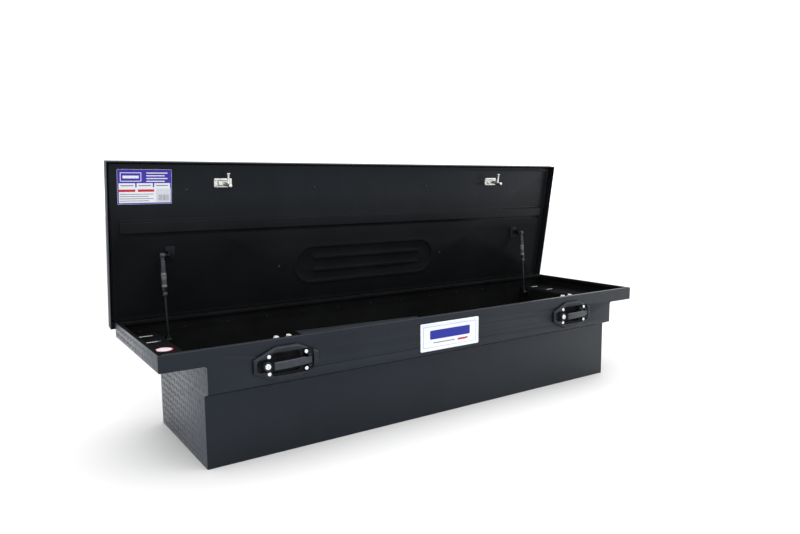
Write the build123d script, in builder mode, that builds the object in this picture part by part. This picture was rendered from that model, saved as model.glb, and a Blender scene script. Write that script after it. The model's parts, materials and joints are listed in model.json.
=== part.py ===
from build123d import *
import os
from math import atan2, cos, degrees, radians, sin

# Saddle-type truck tool box, lid standing open. Millimetres, +X along the box, front face towards -Y,
# +Z up. The origin is the middle of the tub's underside, below the middle of the top opening.

# ---------------------------------------------------------------- driving dimensions
BODY_LENGTH = 1753.0  # over both saddle wings
BODY_DEPTH = 469.0  # front face to rear face at the top
BODY_HEIGHT = 322.0
TUB_LENGTH = 1520.0  # the part that hangs between the bed rails
WING_HEIGHT = 44.5
SHEET = 2.0
FOLD_RADIUS = 3.0  # outside of a fold
PAST = 1.0  # how far a cut runs past the face it goes through
FRONT_STEP = 31.0  # how far the front wall steps back below the handles
REAR_STEP = 20.0
STEP_TOP = 118.0  # start and end of the step, below the top edge
STEP_BOTTOM = 130.0
RIM_WIDTH = 14.0
RIM_LIP = 10.0

LID_LENGTH = 1774.0
LID_DEPTH = 494.0
LID_RISE = 33.0  # top of the closed lid above the hinge axis
LID_OPEN_ANGLE = 81.1  # degrees from closed, held by the gas springs' full length
FRONT_FLANGE = 27.0
SIDE_FLANGE = 32.0
REAR_OVERHANG = 2.5  # rear flange's outer face behind the hinge axis
PAN_GAP = 8.0  # skin's inner face to the pan's inner face
HINGE_Y = 246.6
HINGE_Z = 300.7

HANDLE_SPACING = 1098.0
HANDLE_Z = 256.5
LATCH_OFFSET = 3.0  # latch centre beside the handle centre
STRIKER_Z = 280.0  # striker pin's height in the closed latch

STRUT_LENGTH = 254.0  # pivot to pivot, fully out
STRUT_X = 738.0
STRUT_ON_LID = 214.4  # hinge axis to the upper pivot, along the lid
STRUT_LEAN = 5.5  # degrees off vertical with the lid open

# ---------------------------------------------------------------- derived positions
HALF_BODY = BODY_LENGTH / 2
HALF_TUB = TUB_LENGTH / 2
FRONT_Y = -BODY_DEPTH / 2
REAR_Y = BODY_DEPTH / 2
WING_Z = BODY_HEIGHT - WING_HEIGHT
LOW_FRONT_Y = FRONT_Y + FRONT_STEP
LOW_REAR_Y = REAR_Y - REAR_STEP
STEP_TOP_Z = BODY_HEIGHT - STEP_TOP
STEP_BOTTOM_Z = BODY_HEIGHT - STEP_BOTTOM
RIM_INNER_X = HALF_BODY - RIM_WIDTH
OPEN = radians(LID_OPEN_ANGLE)
LID = Plane(origin=(0, HINGE_Y, HINGE_Z), x_dir=(1, 0, 0), z_dir=(0, sin(OPEN), cos(OPEN)))
LID_FRONT = REAR_OVERHANG - LID_DEPTH
PAN_FACE = LID_RISE - SHEET - PAN_GAP
HANDLE_CENTRES = {"left": -HANDLE_SPACING / 2, "right": HANDLE_SPACING / 2}
LEFT_RIGHT = {"left": -1, "right": 1}

os.makedirs("parts", exist_ok=True)


def save(part, name):
    part.label = name
    export_step(part, f"parts/{name}.step")


def facing_front(x, z, inset):
    """A plane that looks out of the front wall: local x along the box, local y up."""
    return Plane(origin=(x, FRONT_Y + inset, z), x_dir=(1, 0, 0), z_dir=(0, -1, 0))


def across(x):
    """A plane across the box at x: local x to the rear, local y up."""
    return Plane.YZ.offset(x)


def lid_level(rise):
    """A plane parallel to the lid: local x along the box, local y to the hinge, as if closed."""
    return LID.offset(rise)


def lid_across(x):
    """A plane across the lid at x: local x towards the hinge, local y out of the lid's top."""
    return Plane(origin=LID.from_local_coords((x, 0, 0)), x_dir=LID.y_dir, z_dir=(1, 0, 0))


def lid_facing_front(depth, x=0.0):
    """A plane that looks out of the lid's front edge, depth in front of the hinge axis."""
    origin = LID.from_local_coords((x, -depth, 0))
    return Plane(origin=origin, x_dir=(1, 0, 0), z_dir=LID.y_dir * -1)


def sheet_profile(points, thickness, side=Side.LEFT, folds=FOLD_RADIUS):
    """The section of a folded sheet that follows the given points, inside a sketch."""
    with BuildLine() as path:
        FilletPolyline(*points, radius=folds)
        offset(amount=thickness, side=side)
    make_face(path.edges())


# ---------------------------------------------------------------- tub and wings
WING_ROOT_RADIUS = 8.0
CUT = 400.0  # longer than any wall is thick or tall

HANDLE_WINDOW = (84.0, 56.0)  # finger recess through the front wall
HANDLE_WINDOW_CORNER = 8.0
RECESS_X = -2.0  # the recess's middle beside the handle's
LOCK_X = -60.0
LOCK_BOSS_R = 13.5
PIVOT_X = 62.0  # grip's pivot beside the handle's middle
TAIL_SLOT = (20.0, 26.0)
TAIL_SLOT_CENTRE = (58.0, 4.5)
SCREW_SPACING = (106.0, 45.0)
SCREW_R = 3.0
LOCK_BARREL_R = 8.0
LOCK_HOLE_R = LOCK_BARREL_R + 1.0


def wing_relief():
    """Trims a long wall to the end panels' outside: below the wings and round their lower corners."""
    for sign in LEFT_RIGHT.values():
        with BuildSketch(Plane.XZ) as relief:
            with BuildLine() as outline:
                FilletPolyline(
                    (sign * HALF_TUB, -CUT),
                    (sign * HALF_TUB, WING_Z),
                    (sign * HALF_BODY, WING_Z),
                    (sign * HALF_BODY, BODY_HEIGHT),
                    radius=[WING_ROOT_RADIUS, FOLD_RADIUS],
                )
                Polyline(
                    (sign * HALF_BODY, BODY_HEIGHT),
                    (sign * (HALF_BODY + CUT), BODY_HEIGHT),
                    (sign * (HALF_BODY + CUT), -CUT),
                    (sign * HALF_TUB, -CUT),
                )
            make_face(outline.edges())
        extrude(relief.sketch, amount=CUT, both=True, mode=Mode.SUBTRACT)


def rim_corner_relief():
    """The rim stops short of the end panels' rims, only the wall itself runs on."""
    for sign in LEFT_RIGHT.values():
        with BuildSketch(Plane.XY.offset(BODY_HEIGHT)) as corner:
            with Locations((sign * (RIM_INNER_X + RIM_WIDTH), 0)):
                Rectangle(2 * RIM_WIDTH, BODY_DEPTH - 2 * SHEET)
        extrude(corner.sketch, amount=-RIM_LIP - SHEET, mode=Mode.SUBTRACT)


def long_wall(face_y, step):
    """One long wall, given its outer face and the step back below; positive step is to the rear."""
    inward = 1 if step > 0 else -1
    inner_y = face_y + inward * RIM_WIDTH
    low_y = face_y + step
    with BuildSketch(across(-HALF_BODY)) as section:
        sheet_profile(
            [
                (inner_y, BODY_HEIGHT - RIM_LIP),
                (inner_y, BODY_HEIGHT),
                (face_y, BODY_HEIGHT),
                (face_y, STEP_TOP_Z),
                (low_y, STEP_BOTTOM_Z),
                (low_y, 0),
            ],
            SHEET,
            Side.LEFT if inward > 0 else Side.RIGHT,
        )
    extrude(section.sketch, amount=BODY_LENGTH)
    rim_corner_relief()
    wing_relief()


with BuildPart() as front_panel:
    long_wall(FRONT_Y, FRONT_STEP)
    for handle_x in HANDLE_CENTRES.values():
        with BuildSketch(facing_front(handle_x, HANDLE_Z, SHEET + PAST)):
            with Locations((RECESS_X, 0)):
                RectangleRounded(*HANDLE_WINDOW, HANDLE_WINDOW_CORNER)
            with Locations(TAIL_SLOT_CENTRE):
                Rectangle(*TAIL_SLOT)
            with Locations((LOCK_X, 0)):
                Circle(LOCK_HOLE_R)
            with GridLocations(*SCREW_SPACING, 2, 2):
                Circle(SCREW_R)
        extrude(amount=SHEET + 2 * PAST, mode=Mode.SUBTRACT)
save(front_panel.part, "front_panel")

with BuildPart() as rear_panel:
    long_wall(REAR_Y, -REAR_STEP)
save(rear_panel.part, "rear_panel")

FLOOR_FLANGE = 22.0
FLOOR_BEAD_HEIGHT = 4.0
FLOOR_BEAD_WIDTH = 26.0
FLOOR_BEAD_END = 60.0  # from the floor's end to a bead's end
FLOOR_BEAD_SPACING = 130.0
FLOOR_BEAD_COUNT = 3
FLOOR_BEAD_DRAFT = 30.0
FLOOR_LENGTH = TUB_LENGTH - 2 * SHEET
FLOOR_FRONT = LOW_FRONT_Y + SHEET
FLOOR_REAR = LOW_REAR_Y - SHEET
FLOOR_MIDDLE = (FLOOR_FRONT + FLOOR_REAR) / 2

with BuildPart() as floor_panel:
    with BuildSketch(across(-FLOOR_LENGTH / 2)):
        sheet_profile(
            [(FLOOR_FRONT, FLOOR_FLANGE), (FLOOR_FRONT, 0), (FLOOR_REAR, 0), (FLOOR_REAR, FLOOR_FLANGE)],
            SHEET,
        )
    extrude(amount=FLOOR_LENGTH)
    with BuildSketch(Plane.XY.offset(SHEET)):
        with Locations((0, FLOOR_MIDDLE)):
            with GridLocations(0, FLOOR_BEAD_SPACING, 1, FLOOR_BEAD_COUNT):
                SlotOverall(FLOOR_LENGTH - 2 * FLOOR_BEAD_END, FLOOR_BEAD_WIDTH)
    extrude(amount=FLOOR_BEAD_HEIGHT, taper=FLOOR_BEAD_DRAFT)
save(floor_panel.part, "floor_panel")

# bed-rail slots through the wing floors: two slots in each of two rows
RAIL_SLOT = (46.0, 11.0)
RAIL_SLOT_X = 803.0  # middle of the wing floor slots
RAIL_SLOT_Y = (107.0, 193.0)


def tub_inside():
    """The room between the long walls, as a section to trim the end panels to."""
    with BuildSketch(across(-BODY_LENGTH)) as section:
        with BuildLine() as outline:
            Polyline(
                (FRONT_Y, BODY_HEIGHT + SHEET),
                (FRONT_Y, STEP_TOP_Z),
                (LOW_FRONT_Y, STEP_BOTTOM_Z),
                (LOW_FRONT_Y, -SHEET),
                (LOW_REAR_Y, -SHEET),
                (LOW_REAR_Y, STEP_BOTTOM_Z),
                (REAR_Y, STEP_TOP_Z),
                (REAR_Y, BODY_HEIGHT + SHEET),
                close=True,
            )
        make_face(outline.edges())
        offset(amount=-SHEET, kind=Kind.INTERSECTION)
        fillet(vertices().group_by(Axis.Y)[-1], FOLD_RADIUS - SHEET)
        fillet(vertices().filter_by_position(Axis.Y, STEP_TOP_Z - SHEET, STEP_TOP_Z + SHEET), FOLD_RADIUS)
    extrude(section.sketch, amount=2 * BODY_LENGTH, mode=Mode.INTERSECT)


for side, sign in LEFT_RIGHT.items():
    with BuildPart() as end_panel:
        with BuildSketch(Plane.XZ):
            sheet_profile(
                [
                    (sign * HALF_TUB, 0),
                    (sign * HALF_TUB, WING_Z),
                    (sign * HALF_BODY, WING_Z),
                    (sign * HALF_BODY, BODY_HEIGHT),
                    (sign * RIM_INNER_X, BODY_HEIGHT),
                    (sign * RIM_INNER_X, BODY_HEIGHT - RIM_LIP),
                ],
                SHEET,
                Side.RIGHT if sign < 0 else Side.LEFT,
                [WING_ROOT_RADIUS, FOLD_RADIUS, FOLD_RADIUS, FOLD_RADIUS],
            )
        extrude(amount=BODY_DEPTH / 2, both=True)
        tub_inside()
        with BuildSketch(Plane.XY.offset(WING_Z - PAST)):
            for row in RAIL_SLOT_Y:
                with Locations((sign * RAIL_SLOT_X, row), (sign * RAIL_SLOT_X, -row)):
                    SlotOverall(*RAIL_SLOT)
        extrude(amount=SHEET + 2 * PAST, mode=Mode.SUBTRACT)
    save(end_panel.part, f"{side}_end_panel")

# folded stiffener under the front rim, between the two latches, with a tapering shelf on its left half
STIFFENER_LENGTH = 800.0
STIFFENER_DROP = 34.0
STIFFENER_SHEET = 1.5
STIFFENER_STAND = 8.0  # how far it stands in from the rim
STIFFENER_TOP = BODY_HEIGHT - 8.0
STIFFENER_FOOT = 14.0
SHELF_LEFT = -496.0
SHELF_RIGHT = -108.0
SHELF_WIDTH_LEFT = 45.0
SHELF_WIDTH_RIGHT = 15.0
SHELF_CORNER = 4.0

with BuildPart() as front_rim_stiffener:
    wall = FRONT_Y + SHEET
    rim_inner = FRONT_Y + RIM_WIDTH
    stand = rim_inner + STIFFENER_STAND
    low = BODY_HEIGHT - STIFFENER_DROP
    with BuildSketch(across(-STIFFENER_LENGTH / 2)):
        sheet_profile(
            [
                (wall, low - STIFFENER_FOOT),
                (wall, low),
                (stand, low + STIFFENER_STAND),
                (stand, STIFFENER_TOP),
                (rim_inner, STIFFENER_TOP),
            ],
            STIFFENER_SHEET,
            Side.RIGHT,
            STIFFENER_SHEET,
        )
    extrude(amount=STIFFENER_LENGTH)
    with BuildSketch(Plane.XY.offset(BODY_HEIGHT)):
        with BuildLine():
            Polyline(
                (SHELF_LEFT, rim_inner),
                (SHELF_RIGHT, rim_inner),
                (SHELF_RIGHT, rim_inner + SHELF_WIDTH_RIGHT),
                (SHELF_LEFT, rim_inner + SHELF_WIDTH_LEFT),
                close=True,
            )
        make_face()
        fillet(vertices().sort_by(Axis.Y)[-2:], SHELF_CORNER)
    extrude(amount=-STIFFENER_SHEET)
    # folded edge that joins the shelf to the stiffener's top
    with BuildSketch(Plane.XY.offset(BODY_HEIGHT)):
        with Locations(((SHELF_LEFT + SHELF_RIGHT) / 2, rim_inner)):
            Rectangle(SHELF_RIGHT - SHELF_LEFT, STIFFENER_SHEET, align=(Align.CENTER, Align.MIN))
    extrude(amount=STIFFENER_TOP - BODY_HEIGHT - STIFFENER_SHEET)
save(front_rim_stiffener.part, "front_rim_stiffener")

# ---------------------------------------------------------------- piano hinge
HINGE_LENGTH = 1710.0
KNUCKLE_COUNT = 45
KNUCKLE_GAP = 0.5
KNUCKLE_R = 4.5
HINGE_PIN_R = 2.5
HINGE_BORE_R = 2.56
LEAF = 2.0
KNUCKLE_PITCH = HINGE_LENGTH / KNUCKLE_COUNT
BODY_LEAF_DROP = 28.0
BODY_RIVET_DROP = 15.0
LID_RIVET_RISE = 16.0
LID_LEAF_TOP = 25.0
LEAF_CLEARANCE = 0.7
WEB_CLEARANCE = 0.2  # web's top below the knuckle's bore
KNUCKLE_ROOT = 2.0  # how far the leaf runs past a knuckle's top
PIN_HEAD = 1.0  # height, and how far it stands proud all round
RIVET_R = 2.4
RIVET_HEAD_R = 4.4
RIVET_HEAD = 1.5
RIVET_TAIL_R = RIVET_R + 1.0
RIVET_DRAFT = 25.0
RIVET_COUNT = 13
RIVET_PITCH = 135.0


def knuckle_starts(first):
    return [-HINGE_LENGTH / 2 + KNUCKLE_PITCH * i for i in range(first, KNUCKLE_COUNT, 2)]


with BuildPart() as hinge_body_leaf:
    web_top = HINGE_Z - HINGE_BORE_R - WEB_CLEARANCE
    web_bottom = HINGE_Z - KNUCKLE_R
    with BuildSketch(across(-HINGE_LENGTH / 2)):
        with Locations((REAR_Y, web_top)):
            Rectangle(LEAF, BODY_LEAF_DROP, align=(Align.MIN, Align.MAX))
        with Locations((REAR_Y, web_bottom)):
            web = HINGE_Y - KNUCKLE_R - LEAF_CLEARANCE - REAR_Y
            Rectangle(web, web_top - web_bottom, align=(Align.MIN, Align.MIN))
    extrude(amount=HINGE_LENGTH)
    with BuildSketch(*[across(x + KNUCKLE_GAP / 2) for x in knuckle_starts(0)]):
        with Locations((HINGE_Y, HINGE_Z)):
            Circle(KNUCKLE_R)
        with Locations((REAR_Y + LEAF, web_bottom)):
            Rectangle(HINGE_Y - REAR_Y - LEAF, web_top - web_bottom, align=(Align.MIN, Align.MIN))
        with Locations((HINGE_Y, HINGE_Z)):
            Circle(HINGE_BORE_R, mode=Mode.SUBTRACT)
    extrude(amount=KNUCKLE_PITCH - KNUCKLE_GAP)
save(hinge_body_leaf.part, "hinge_body_leaf")

with BuildPart() as hinge_lid_leaf:
    leaf_face = REAR_OVERHANG - SHEET - LEAF
    with BuildSketch(lid_across(-HINGE_LENGTH / 2)):
        with Locations((leaf_face, KNUCKLE_R + LEAF_CLEARANCE)):
            Rectangle(LEAF, LID_LEAF_TOP - KNUCKLE_R, align=(Align.MIN, Align.MIN))
    extrude(amount=HINGE_LENGTH)
    with BuildSketch(*[lid_across(x + KNUCKLE_GAP / 2) for x in knuckle_starts(1)]):
        Circle(KNUCKLE_R)
        with Locations((leaf_face, 0)):
            Rectangle(LEAF, KNUCKLE_R + KNUCKLE_ROOT, align=(Align.MIN, Align.MIN))
        Circle(HINGE_BORE_R, mode=Mode.SUBTRACT)
    extrude(amount=KNUCKLE_PITCH - KNUCKLE_GAP)
save(hinge_lid_leaf.part, "hinge_lid_leaf")

with BuildPart() as hinge_pin:
    with BuildSketch(across(-HINGE_LENGTH / 2)):
        with Locations((HINGE_Y, HINGE_Z)):
            Circle(HINGE_PIN_R)
    extrude(amount=HINGE_LENGTH)
    with BuildSketch(across(-HINGE_LENGTH / 2 - PIN_HEAD), across(HINGE_LENGTH / 2)):
        with Locations((HINGE_Y, HINGE_Z)):
            Circle(HINGE_PIN_R + PIN_HEAD)
    extrude(amount=PIN_HEAD)
save(hinge_pin.part, "hinge_pin")

with BuildPart() as hinge_body_rivets:
    behind = Plane(origin=(0, REAR_Y + LEAF, HINGE_Z - BODY_RIVET_DROP), x_dir=(1, 0, 0), z_dir=(0, -1, 0))
    with BuildSketch(behind):
        with GridLocations(RIVET_PITCH, 0, RIVET_COUNT, 1):
            Circle(RIVET_HEAD_R)
    extrude(amount=-RIVET_HEAD, taper=RIVET_DRAFT)
    with BuildSketch(behind.offset(LEAF + SHEET)):
        with GridLocations(RIVET_PITCH, 0, RIVET_COUNT, 1):
            Circle(RIVET_TAIL_R)
    extrude(amount=RIVET_HEAD)
save(hinge_body_rivets.part, "hinge_body_rivets")

with BuildPart() as hinge_lid_rivets:
    outside = lid_facing_front(-REAR_OVERHANG)
    with BuildSketch(outside):
        with Locations((0, LID_RIVET_RISE)):
            with GridLocations(RIVET_PITCH, 0, RIVET_COUNT, 1):
                Circle(RIVET_HEAD_R)
    extrude(amount=-RIVET_HEAD, taper=RIVET_DRAFT)
    with BuildSketch(lid_facing_front(-leaf_face)):
        with Locations((0, LID_RIVET_RISE)):
            with GridLocations(RIVET_PITCH, 0, RIVET_COUNT, 1):
                Circle(RIVET_TAIL_R)
    extrude(amount=RIVET_HEAD)
save(hinge_lid_rivets.part, "hinge_lid_rivets")

# ---------------------------------------------------------------- lid
SKIN_CORNER = 3.0
REAR_FLANGE_START = KNUCKLE_R + 1.0  # above the hinge axis
SKIN_EDGE_RADIUS = 2.0


def lid_block(half_length, front, rear, low, high, mode=Mode.ADD):
    """A block in the closed lid's own directions, measured from the hinge axis."""
    with BuildSketch(lid_level(low)) as footprint:
        with Locations((0, (front + rear) / 2)):
            Rectangle(2 * half_length, rear - front)
    extrude(footprint.sketch, amount=high - low, mode=mode)


with BuildPart() as lid_skin:
    skin_low = LID_RISE - SIDE_FLANGE
    half_lid = LID_LENGTH / 2
    lid_block(half_lid, LID_FRONT, REAR_OVERHANG, skin_low, LID_RISE)
    lid_up = Axis(LID.origin, LID.z_dir)
    fillet(edges().filter_by(lid_up), SKIN_CORNER)
    top_face = faces().sort_by(lid_up)[-1]
    fillet(top_face.edges(), SKIN_EDGE_RADIUS)
    lid_block(
        half_lid - SHEET,
        LID_FRONT + SHEET,
        REAR_OVERHANG - SHEET,
        skin_low,
        LID_RISE - SHEET,
        Mode.SUBTRACT,
    )
    between = half_lid - SHEET
    lid_block(between, LID_FRONT - PAST, LID_FRONT + SHEET, 0, LID_RISE - FRONT_FLANGE, Mode.SUBTRACT)
    lid_block(between, REAR_OVERHANG - SHEET, REAR_OVERHANG + PAST, 0, REAR_FLANGE_START, Mode.SUBTRACT)
save(lid_skin.part, "lid_skin")

PAN_SHEET = 1.2
PAN_HALF_LENGTH = LID_LENGTH / 2 - 9.0
PAN_FRONT = LID_FRONT + 9.0
PAN_REAR = REAR_OVERHANG - 15.5
PAN_CORNER = 6.0
BEAD_SIZE = (592.0, 141.0)
BEAD_WIDTH = 12.0
BEAD_RISE = 3.0
BEAD_DRAFT = 20.0
INNER_BEAD_LENGTH = BEAD_SIZE[0] - 150.0
INNER_BEAD_SPACING = 44.0
BEAD_Y = REAR_OVERHANG - 146.0
SKIN_INSIDE = LID_RISE - SHEET


def pan_outline(inset):
    with Locations((0, (PAN_FRONT + PAN_REAR) / 2)):
        RectangleRounded(
            2 * (PAN_HALF_LENGTH - inset), PAN_REAR - PAN_FRONT - 2 * inset, PAN_CORNER - inset
        )


with BuildPart() as lid_pan:
    with BuildSketch(lid_level(PAN_FACE)):
        pan_outline(0)
    extrude(amount=SKIN_INSIDE - PAN_FACE)
    with BuildSketch(lid_level(PAN_FACE + PAN_SHEET)):
        pan_outline(PAN_SHEET)
    extrude(amount=SKIN_INSIDE - PAN_FACE, mode=Mode.SUBTRACT)
    with BuildSketch(lid_level(PAN_FACE)):
        with Locations((0, BEAD_Y)):
            SlotOverall(*BEAD_SIZE)
            SlotOverall(BEAD_SIZE[0] - 2 * BEAD_WIDTH, BEAD_SIZE[1] - 2 * BEAD_WIDTH, mode=Mode.SUBTRACT)
            with GridLocations(0, INNER_BEAD_SPACING, 1, 2):
                SlotOverall(INNER_BEAD_LENGTH, BEAD_WIDTH)
    extrude(amount=-BEAD_RISE, taper=BEAD_DRAFT)
save(lid_pan.part, "lid_pan")

with BuildPart() as lid_core:
    with BuildSketch(lid_level(PAN_FACE + PAN_SHEET)):
        pan_outline(PAN_SHEET)
    extrude(amount=SKIN_INSIDE - PAN_FACE - PAN_SHEET)
save(lid_core.part, "lid_core")

CHANNEL_FRONT = REAR_OVERHANG - 326.0
CHANNEL_REAR = REAR_OVERHANG - 273.0
CHANNEL_DEPTH = 8.0
CHANNEL_SHEET = 1.5
CHANNEL_FOOT = 8.0
CHANNEL_SLOPE = 3.0
CHANNEL_HALF_LENGTH = 852.0

with BuildPart() as lid_channel:
    raised = PAN_FACE - CHANNEL_DEPTH + CHANNEL_SHEET
    with BuildSketch(lid_across(-CHANNEL_HALF_LENGTH)):
        sheet_profile(
            [
                (CHANNEL_FRONT, PAN_FACE),
                (CHANNEL_FRONT + CHANNEL_FOOT, PAN_FACE),
                (CHANNEL_FRONT + CHANNEL_FOOT + CHANNEL_SLOPE, raised),
                (CHANNEL_REAR - CHANNEL_FOOT - CHANNEL_SLOPE, raised),
                (CHANNEL_REAR - CHANNEL_FOOT, PAN_FACE),
                (CHANNEL_REAR, PAN_FACE),
            ],
            CHANNEL_SHEET,
            Side.RIGHT,
            CHANNEL_SHEET,
        )
    extrude(amount=2 * CHANNEL_HALF_LENGTH)
save(lid_channel.part, "lid_channel")

SEAL_WIDTH = 10.0
SEAL_HEIGHT = 1.5

with BuildPart() as lid_seal:
    rim_middle_x = HALF_BODY - RIM_WIDTH / 2
    rim_middle_y = REAR_Y - RIM_WIDTH / 2
    with BuildSketch(lid_level(PAN_FACE)):
        with Locations((0, -HINGE_Y)):
            Rectangle(2 * rim_middle_x + SEAL_WIDTH, 2 * rim_middle_y + SEAL_WIDTH)
            Rectangle(2 * rim_middle_x - SEAL_WIDTH, 2 * rim_middle_y - SEAL_WIDTH, mode=Mode.SUBTRACT)
    extrude(amount=-SEAL_HEIGHT)
save(lid_seal.part, "lid_seal")

LABEL_SIZE = (152.0, 101.0)
LABEL_X = -779.0
LABEL_FRONT = LID_FRONT + 24.0
LABEL_THICKNESS = 0.3
LABEL_CORNER = 2.0

with BuildPart() as product_label:
    with BuildSketch(lid_level(PAN_FACE - LABEL_THICKNESS)):
        with Locations((LABEL_X, LABEL_FRONT + LABEL_SIZE[1] / 2)):
            RectangleRounded(*LABEL_SIZE, LABEL_CORNER)
    extrude(amount=LABEL_THICKNESS)
save(product_label.part, "product_label")

# ---------------------------------------------------------------- strikers
STRIKER_DEPTH = HINGE_Y + 181.0  # post's distance in front of the hinge axis
STRIKER_POST_R = 5.5
STRIKER_POST_LENGTH = 66.0
STRIKER_PLATE = (56.0, 28.0)
STRIKER_PLATE_X = -2.0  # plate's middle beside the post
STRIKER_PLATE_THICKNESS = 3.0
STRIKER_PLATE_CORNER = 4.0
STRIKER_SEAT = (40.0, 18.0)  # raised middle of the plate
STRIKER_SEAT_HEIGHT = 7.0
STRIKER_DRAFT = 18.0
STRIKER_TIP_CHAMFER = 2.0
STRIKER_SCREWS = ((-23.5, 9.0), (-23.5, -9.0))
STRIKER_SCREW_HEAD = (3.4, 2.2)  # radius and height
STRIKER_PIN_R = 3.5
STRIKER_PIN_END = 32.5
STRIKER_HEAD_R = 5.5
STRIKER_HEAD = 3.5
STRIKER_RISE = STRIKER_Z - HINGE_Z

for side, handle_x in HANDLE_CENTRES.items():
    latch_x = handle_x + LATCH_OFFSET
    plate_x = latch_x + STRIKER_PLATE_X
    with BuildPart() as striker:
        with BuildSketch(lid_level(PAN_FACE)):
            with Locations((plate_x, -STRIKER_DEPTH)):
                RectangleRounded(*STRIKER_PLATE, STRIKER_PLATE_CORNER)
        extrude(amount=-STRIKER_PLATE_THICKNESS)
        with BuildSketch(lid_level(PAN_FACE - STRIKER_PLATE_THICKNESS)):
            with Locations((latch_x, -STRIKER_DEPTH)):
                Rectangle(*STRIKER_SEAT)
        extrude(amount=-STRIKER_SEAT_HEIGHT, taper=STRIKER_DRAFT)
        with BuildSketch(lid_level(PAN_FACE - STRIKER_PLATE_THICKNESS)):
            with Locations((latch_x, -STRIKER_DEPTH)):
                Circle(STRIKER_POST_R)
        extrude(amount=STRIKER_PLATE_THICKNESS - STRIKER_POST_LENGTH)
        chamfer(faces().sort_by(Axis(LID.origin, LID.z_dir))[0].edges(), STRIKER_TIP_CHAMFER)
        pin_plane = lid_facing_front(STRIKER_DEPTH, latch_x)
        with BuildSketch(pin_plane):
            with Locations((0, STRIKER_RISE)):
                Circle(STRIKER_PIN_R)
        extrude(amount=STRIKER_PIN_END)
        with BuildSketch(pin_plane.offset(STRIKER_PIN_END)):
            with Locations((0, STRIKER_RISE)):
                Circle(STRIKER_HEAD_R)
        extrude(amount=STRIKER_HEAD)
    save(striker.part, f"{side}_striker")

with BuildPart() as striker_screws:
    for handle_x in HANDLE_CENTRES.values():
        plate_x = handle_x + LATCH_OFFSET + STRIKER_PLATE_X
        with BuildSketch(lid_level(PAN_FACE - STRIKER_PLATE_THICKNESS)):
            for dx, dy in STRIKER_SCREWS:
                with Locations((plate_x + dx, dy - STRIKER_DEPTH)):
                    Circle(STRIKER_SCREW_HEAD[0])
        extrude(amount=-STRIKER_SCREW_HEAD[1], taper=STRIKER_DRAFT)
save(striker_screws.part, "striker_screws")

# ---------------------------------------------------------------- front nameplate
NAMEPLATE_SIZE = (228.0, 86.0)
NAMEPLATE_Z = 258.0
NAMEPLATE_THICKNESS = 2.0
NAMEPLATE_BORDER = 5.0
NAMEPLATE_BORDER_RISE = 1.0
NAMEPLATE_CORNER = 4.0
NAMEPLATE_INNER_CORNER = 3.0
NAMEPLATE_DRAFT = 15.0

with BuildPart() as nameplate:
    with BuildSketch(facing_front(0, NAMEPLATE_Z, 0)):
        RectangleRounded(*NAMEPLATE_SIZE, NAMEPLATE_CORNER)
    extrude(amount=NAMEPLATE_THICKNESS)
    with BuildSketch(facing_front(0, NAMEPLATE_Z, -NAMEPLATE_THICKNESS)):
        RectangleRounded(*NAMEPLATE_SIZE, NAMEPLATE_CORNER)
        RectangleRounded(
            NAMEPLATE_SIZE[0] - 2 * NAMEPLATE_BORDER,
            NAMEPLATE_SIZE[1] - 2 * NAMEPLATE_BORDER,
            NAMEPLATE_INNER_CORNER,
            mode=Mode.SUBTRACT,
        )
    extrude(amount=NAMEPLATE_BORDER_RISE, taper=NAMEPLATE_DRAFT)
save(nameplate.part, "nameplate")

# ---------------------------------------------------------------- handles
GASKET = 0.8
GASKET_INSET = 1.0
BASE_THICKNESS = 5.0
DOME_HEIGHT = 4.0
ESCUTCHEON = (186.0, 92.0)
ESCUTCHEON_FLAT = 64.0  # top and bottom straight edges
ESCUTCHEON_SIDE = 38.0  # left and right straight edges
ESCUTCHEON_EASE = 2.0  # ledge round the foot of the dome
CORNER_SHARE = 0.4  # how much of an inset each straight edge loses at its end
DOME_DRAFT = 40.0
WEB_OVER_WALL = 2.0  # thickness left under the window and the lock pocket
POCKET_CORNER = 10.0
RECESS_INNER_CORNER = 6.0
BARREL_CLEARANCE = 0.08
BOSS_DRAFT = 4.0
EAR_R = 6.0
RECESS_DEPTH = 14.0
RECESS_WALL = 2.0
BOSS_HEIGHT = 22.0
PIVOT_OUT = 10.0  # grip's pivot in front of the wall
PIVOT_PIN_R = 2.5
PIVOT_BORE_R = 2.56
EAR_GAP = 13.5  # half the clear height between the two ears
EAR_THICKNESS = 4.0
BACKPLATE_INSET = SHEET
BACKPLATE_THICKNESS = 3.0
BACKPLATE_SIZE = (150.0, 64.0)
BACKPLATE_CORNER = 5.0
BACKPLATE_GAP = 1.0  # round the finger recess, both sides together
TAIL_REACH = 21.5  # tail's end behind the wall's outer face
TAIL_WIDTH = 8.0
TAIL_TOP = 13.0
TAIL_BOTTOM = 5.0
PIVOT_HALF_HEIGHT = 8.5
WINDOW_LEFT = -46.0
WINDOW_RIGHT = 76.0
WINDOW_HEIGHT = 62.0
LOCK_POCKET = (50.0, 32.0)  # shallow pocket round the lock, open to the finger recess
SCREW_PILLAR_R = 6.2
GRIP_HALF_HEIGHT = 10.5
GRIP_ROUND = 3.0
CHEEK_CUT = (18.0, 20.0)
TAIL_HUB_R = 4.6
SPRING_ROOM = (30.0, 15.0)
BARREL_BACK = 8.5  # barrel's rear end behind the wall's outer face
BARREL_CHAMFER = 0.8
PLUG_R = 6.4
PLUG_RISE = 1.0
KEYWAY = (1.4, 7.0)
KEYWAY_DEPTH = 5.0
CAM_THICKNESS = 3.0
CAM_R = 8.0
CAM_ARM = (10.0, 17.0)
CAM_NUT = 3.5
CAM_NUT_R = 5.0


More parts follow.
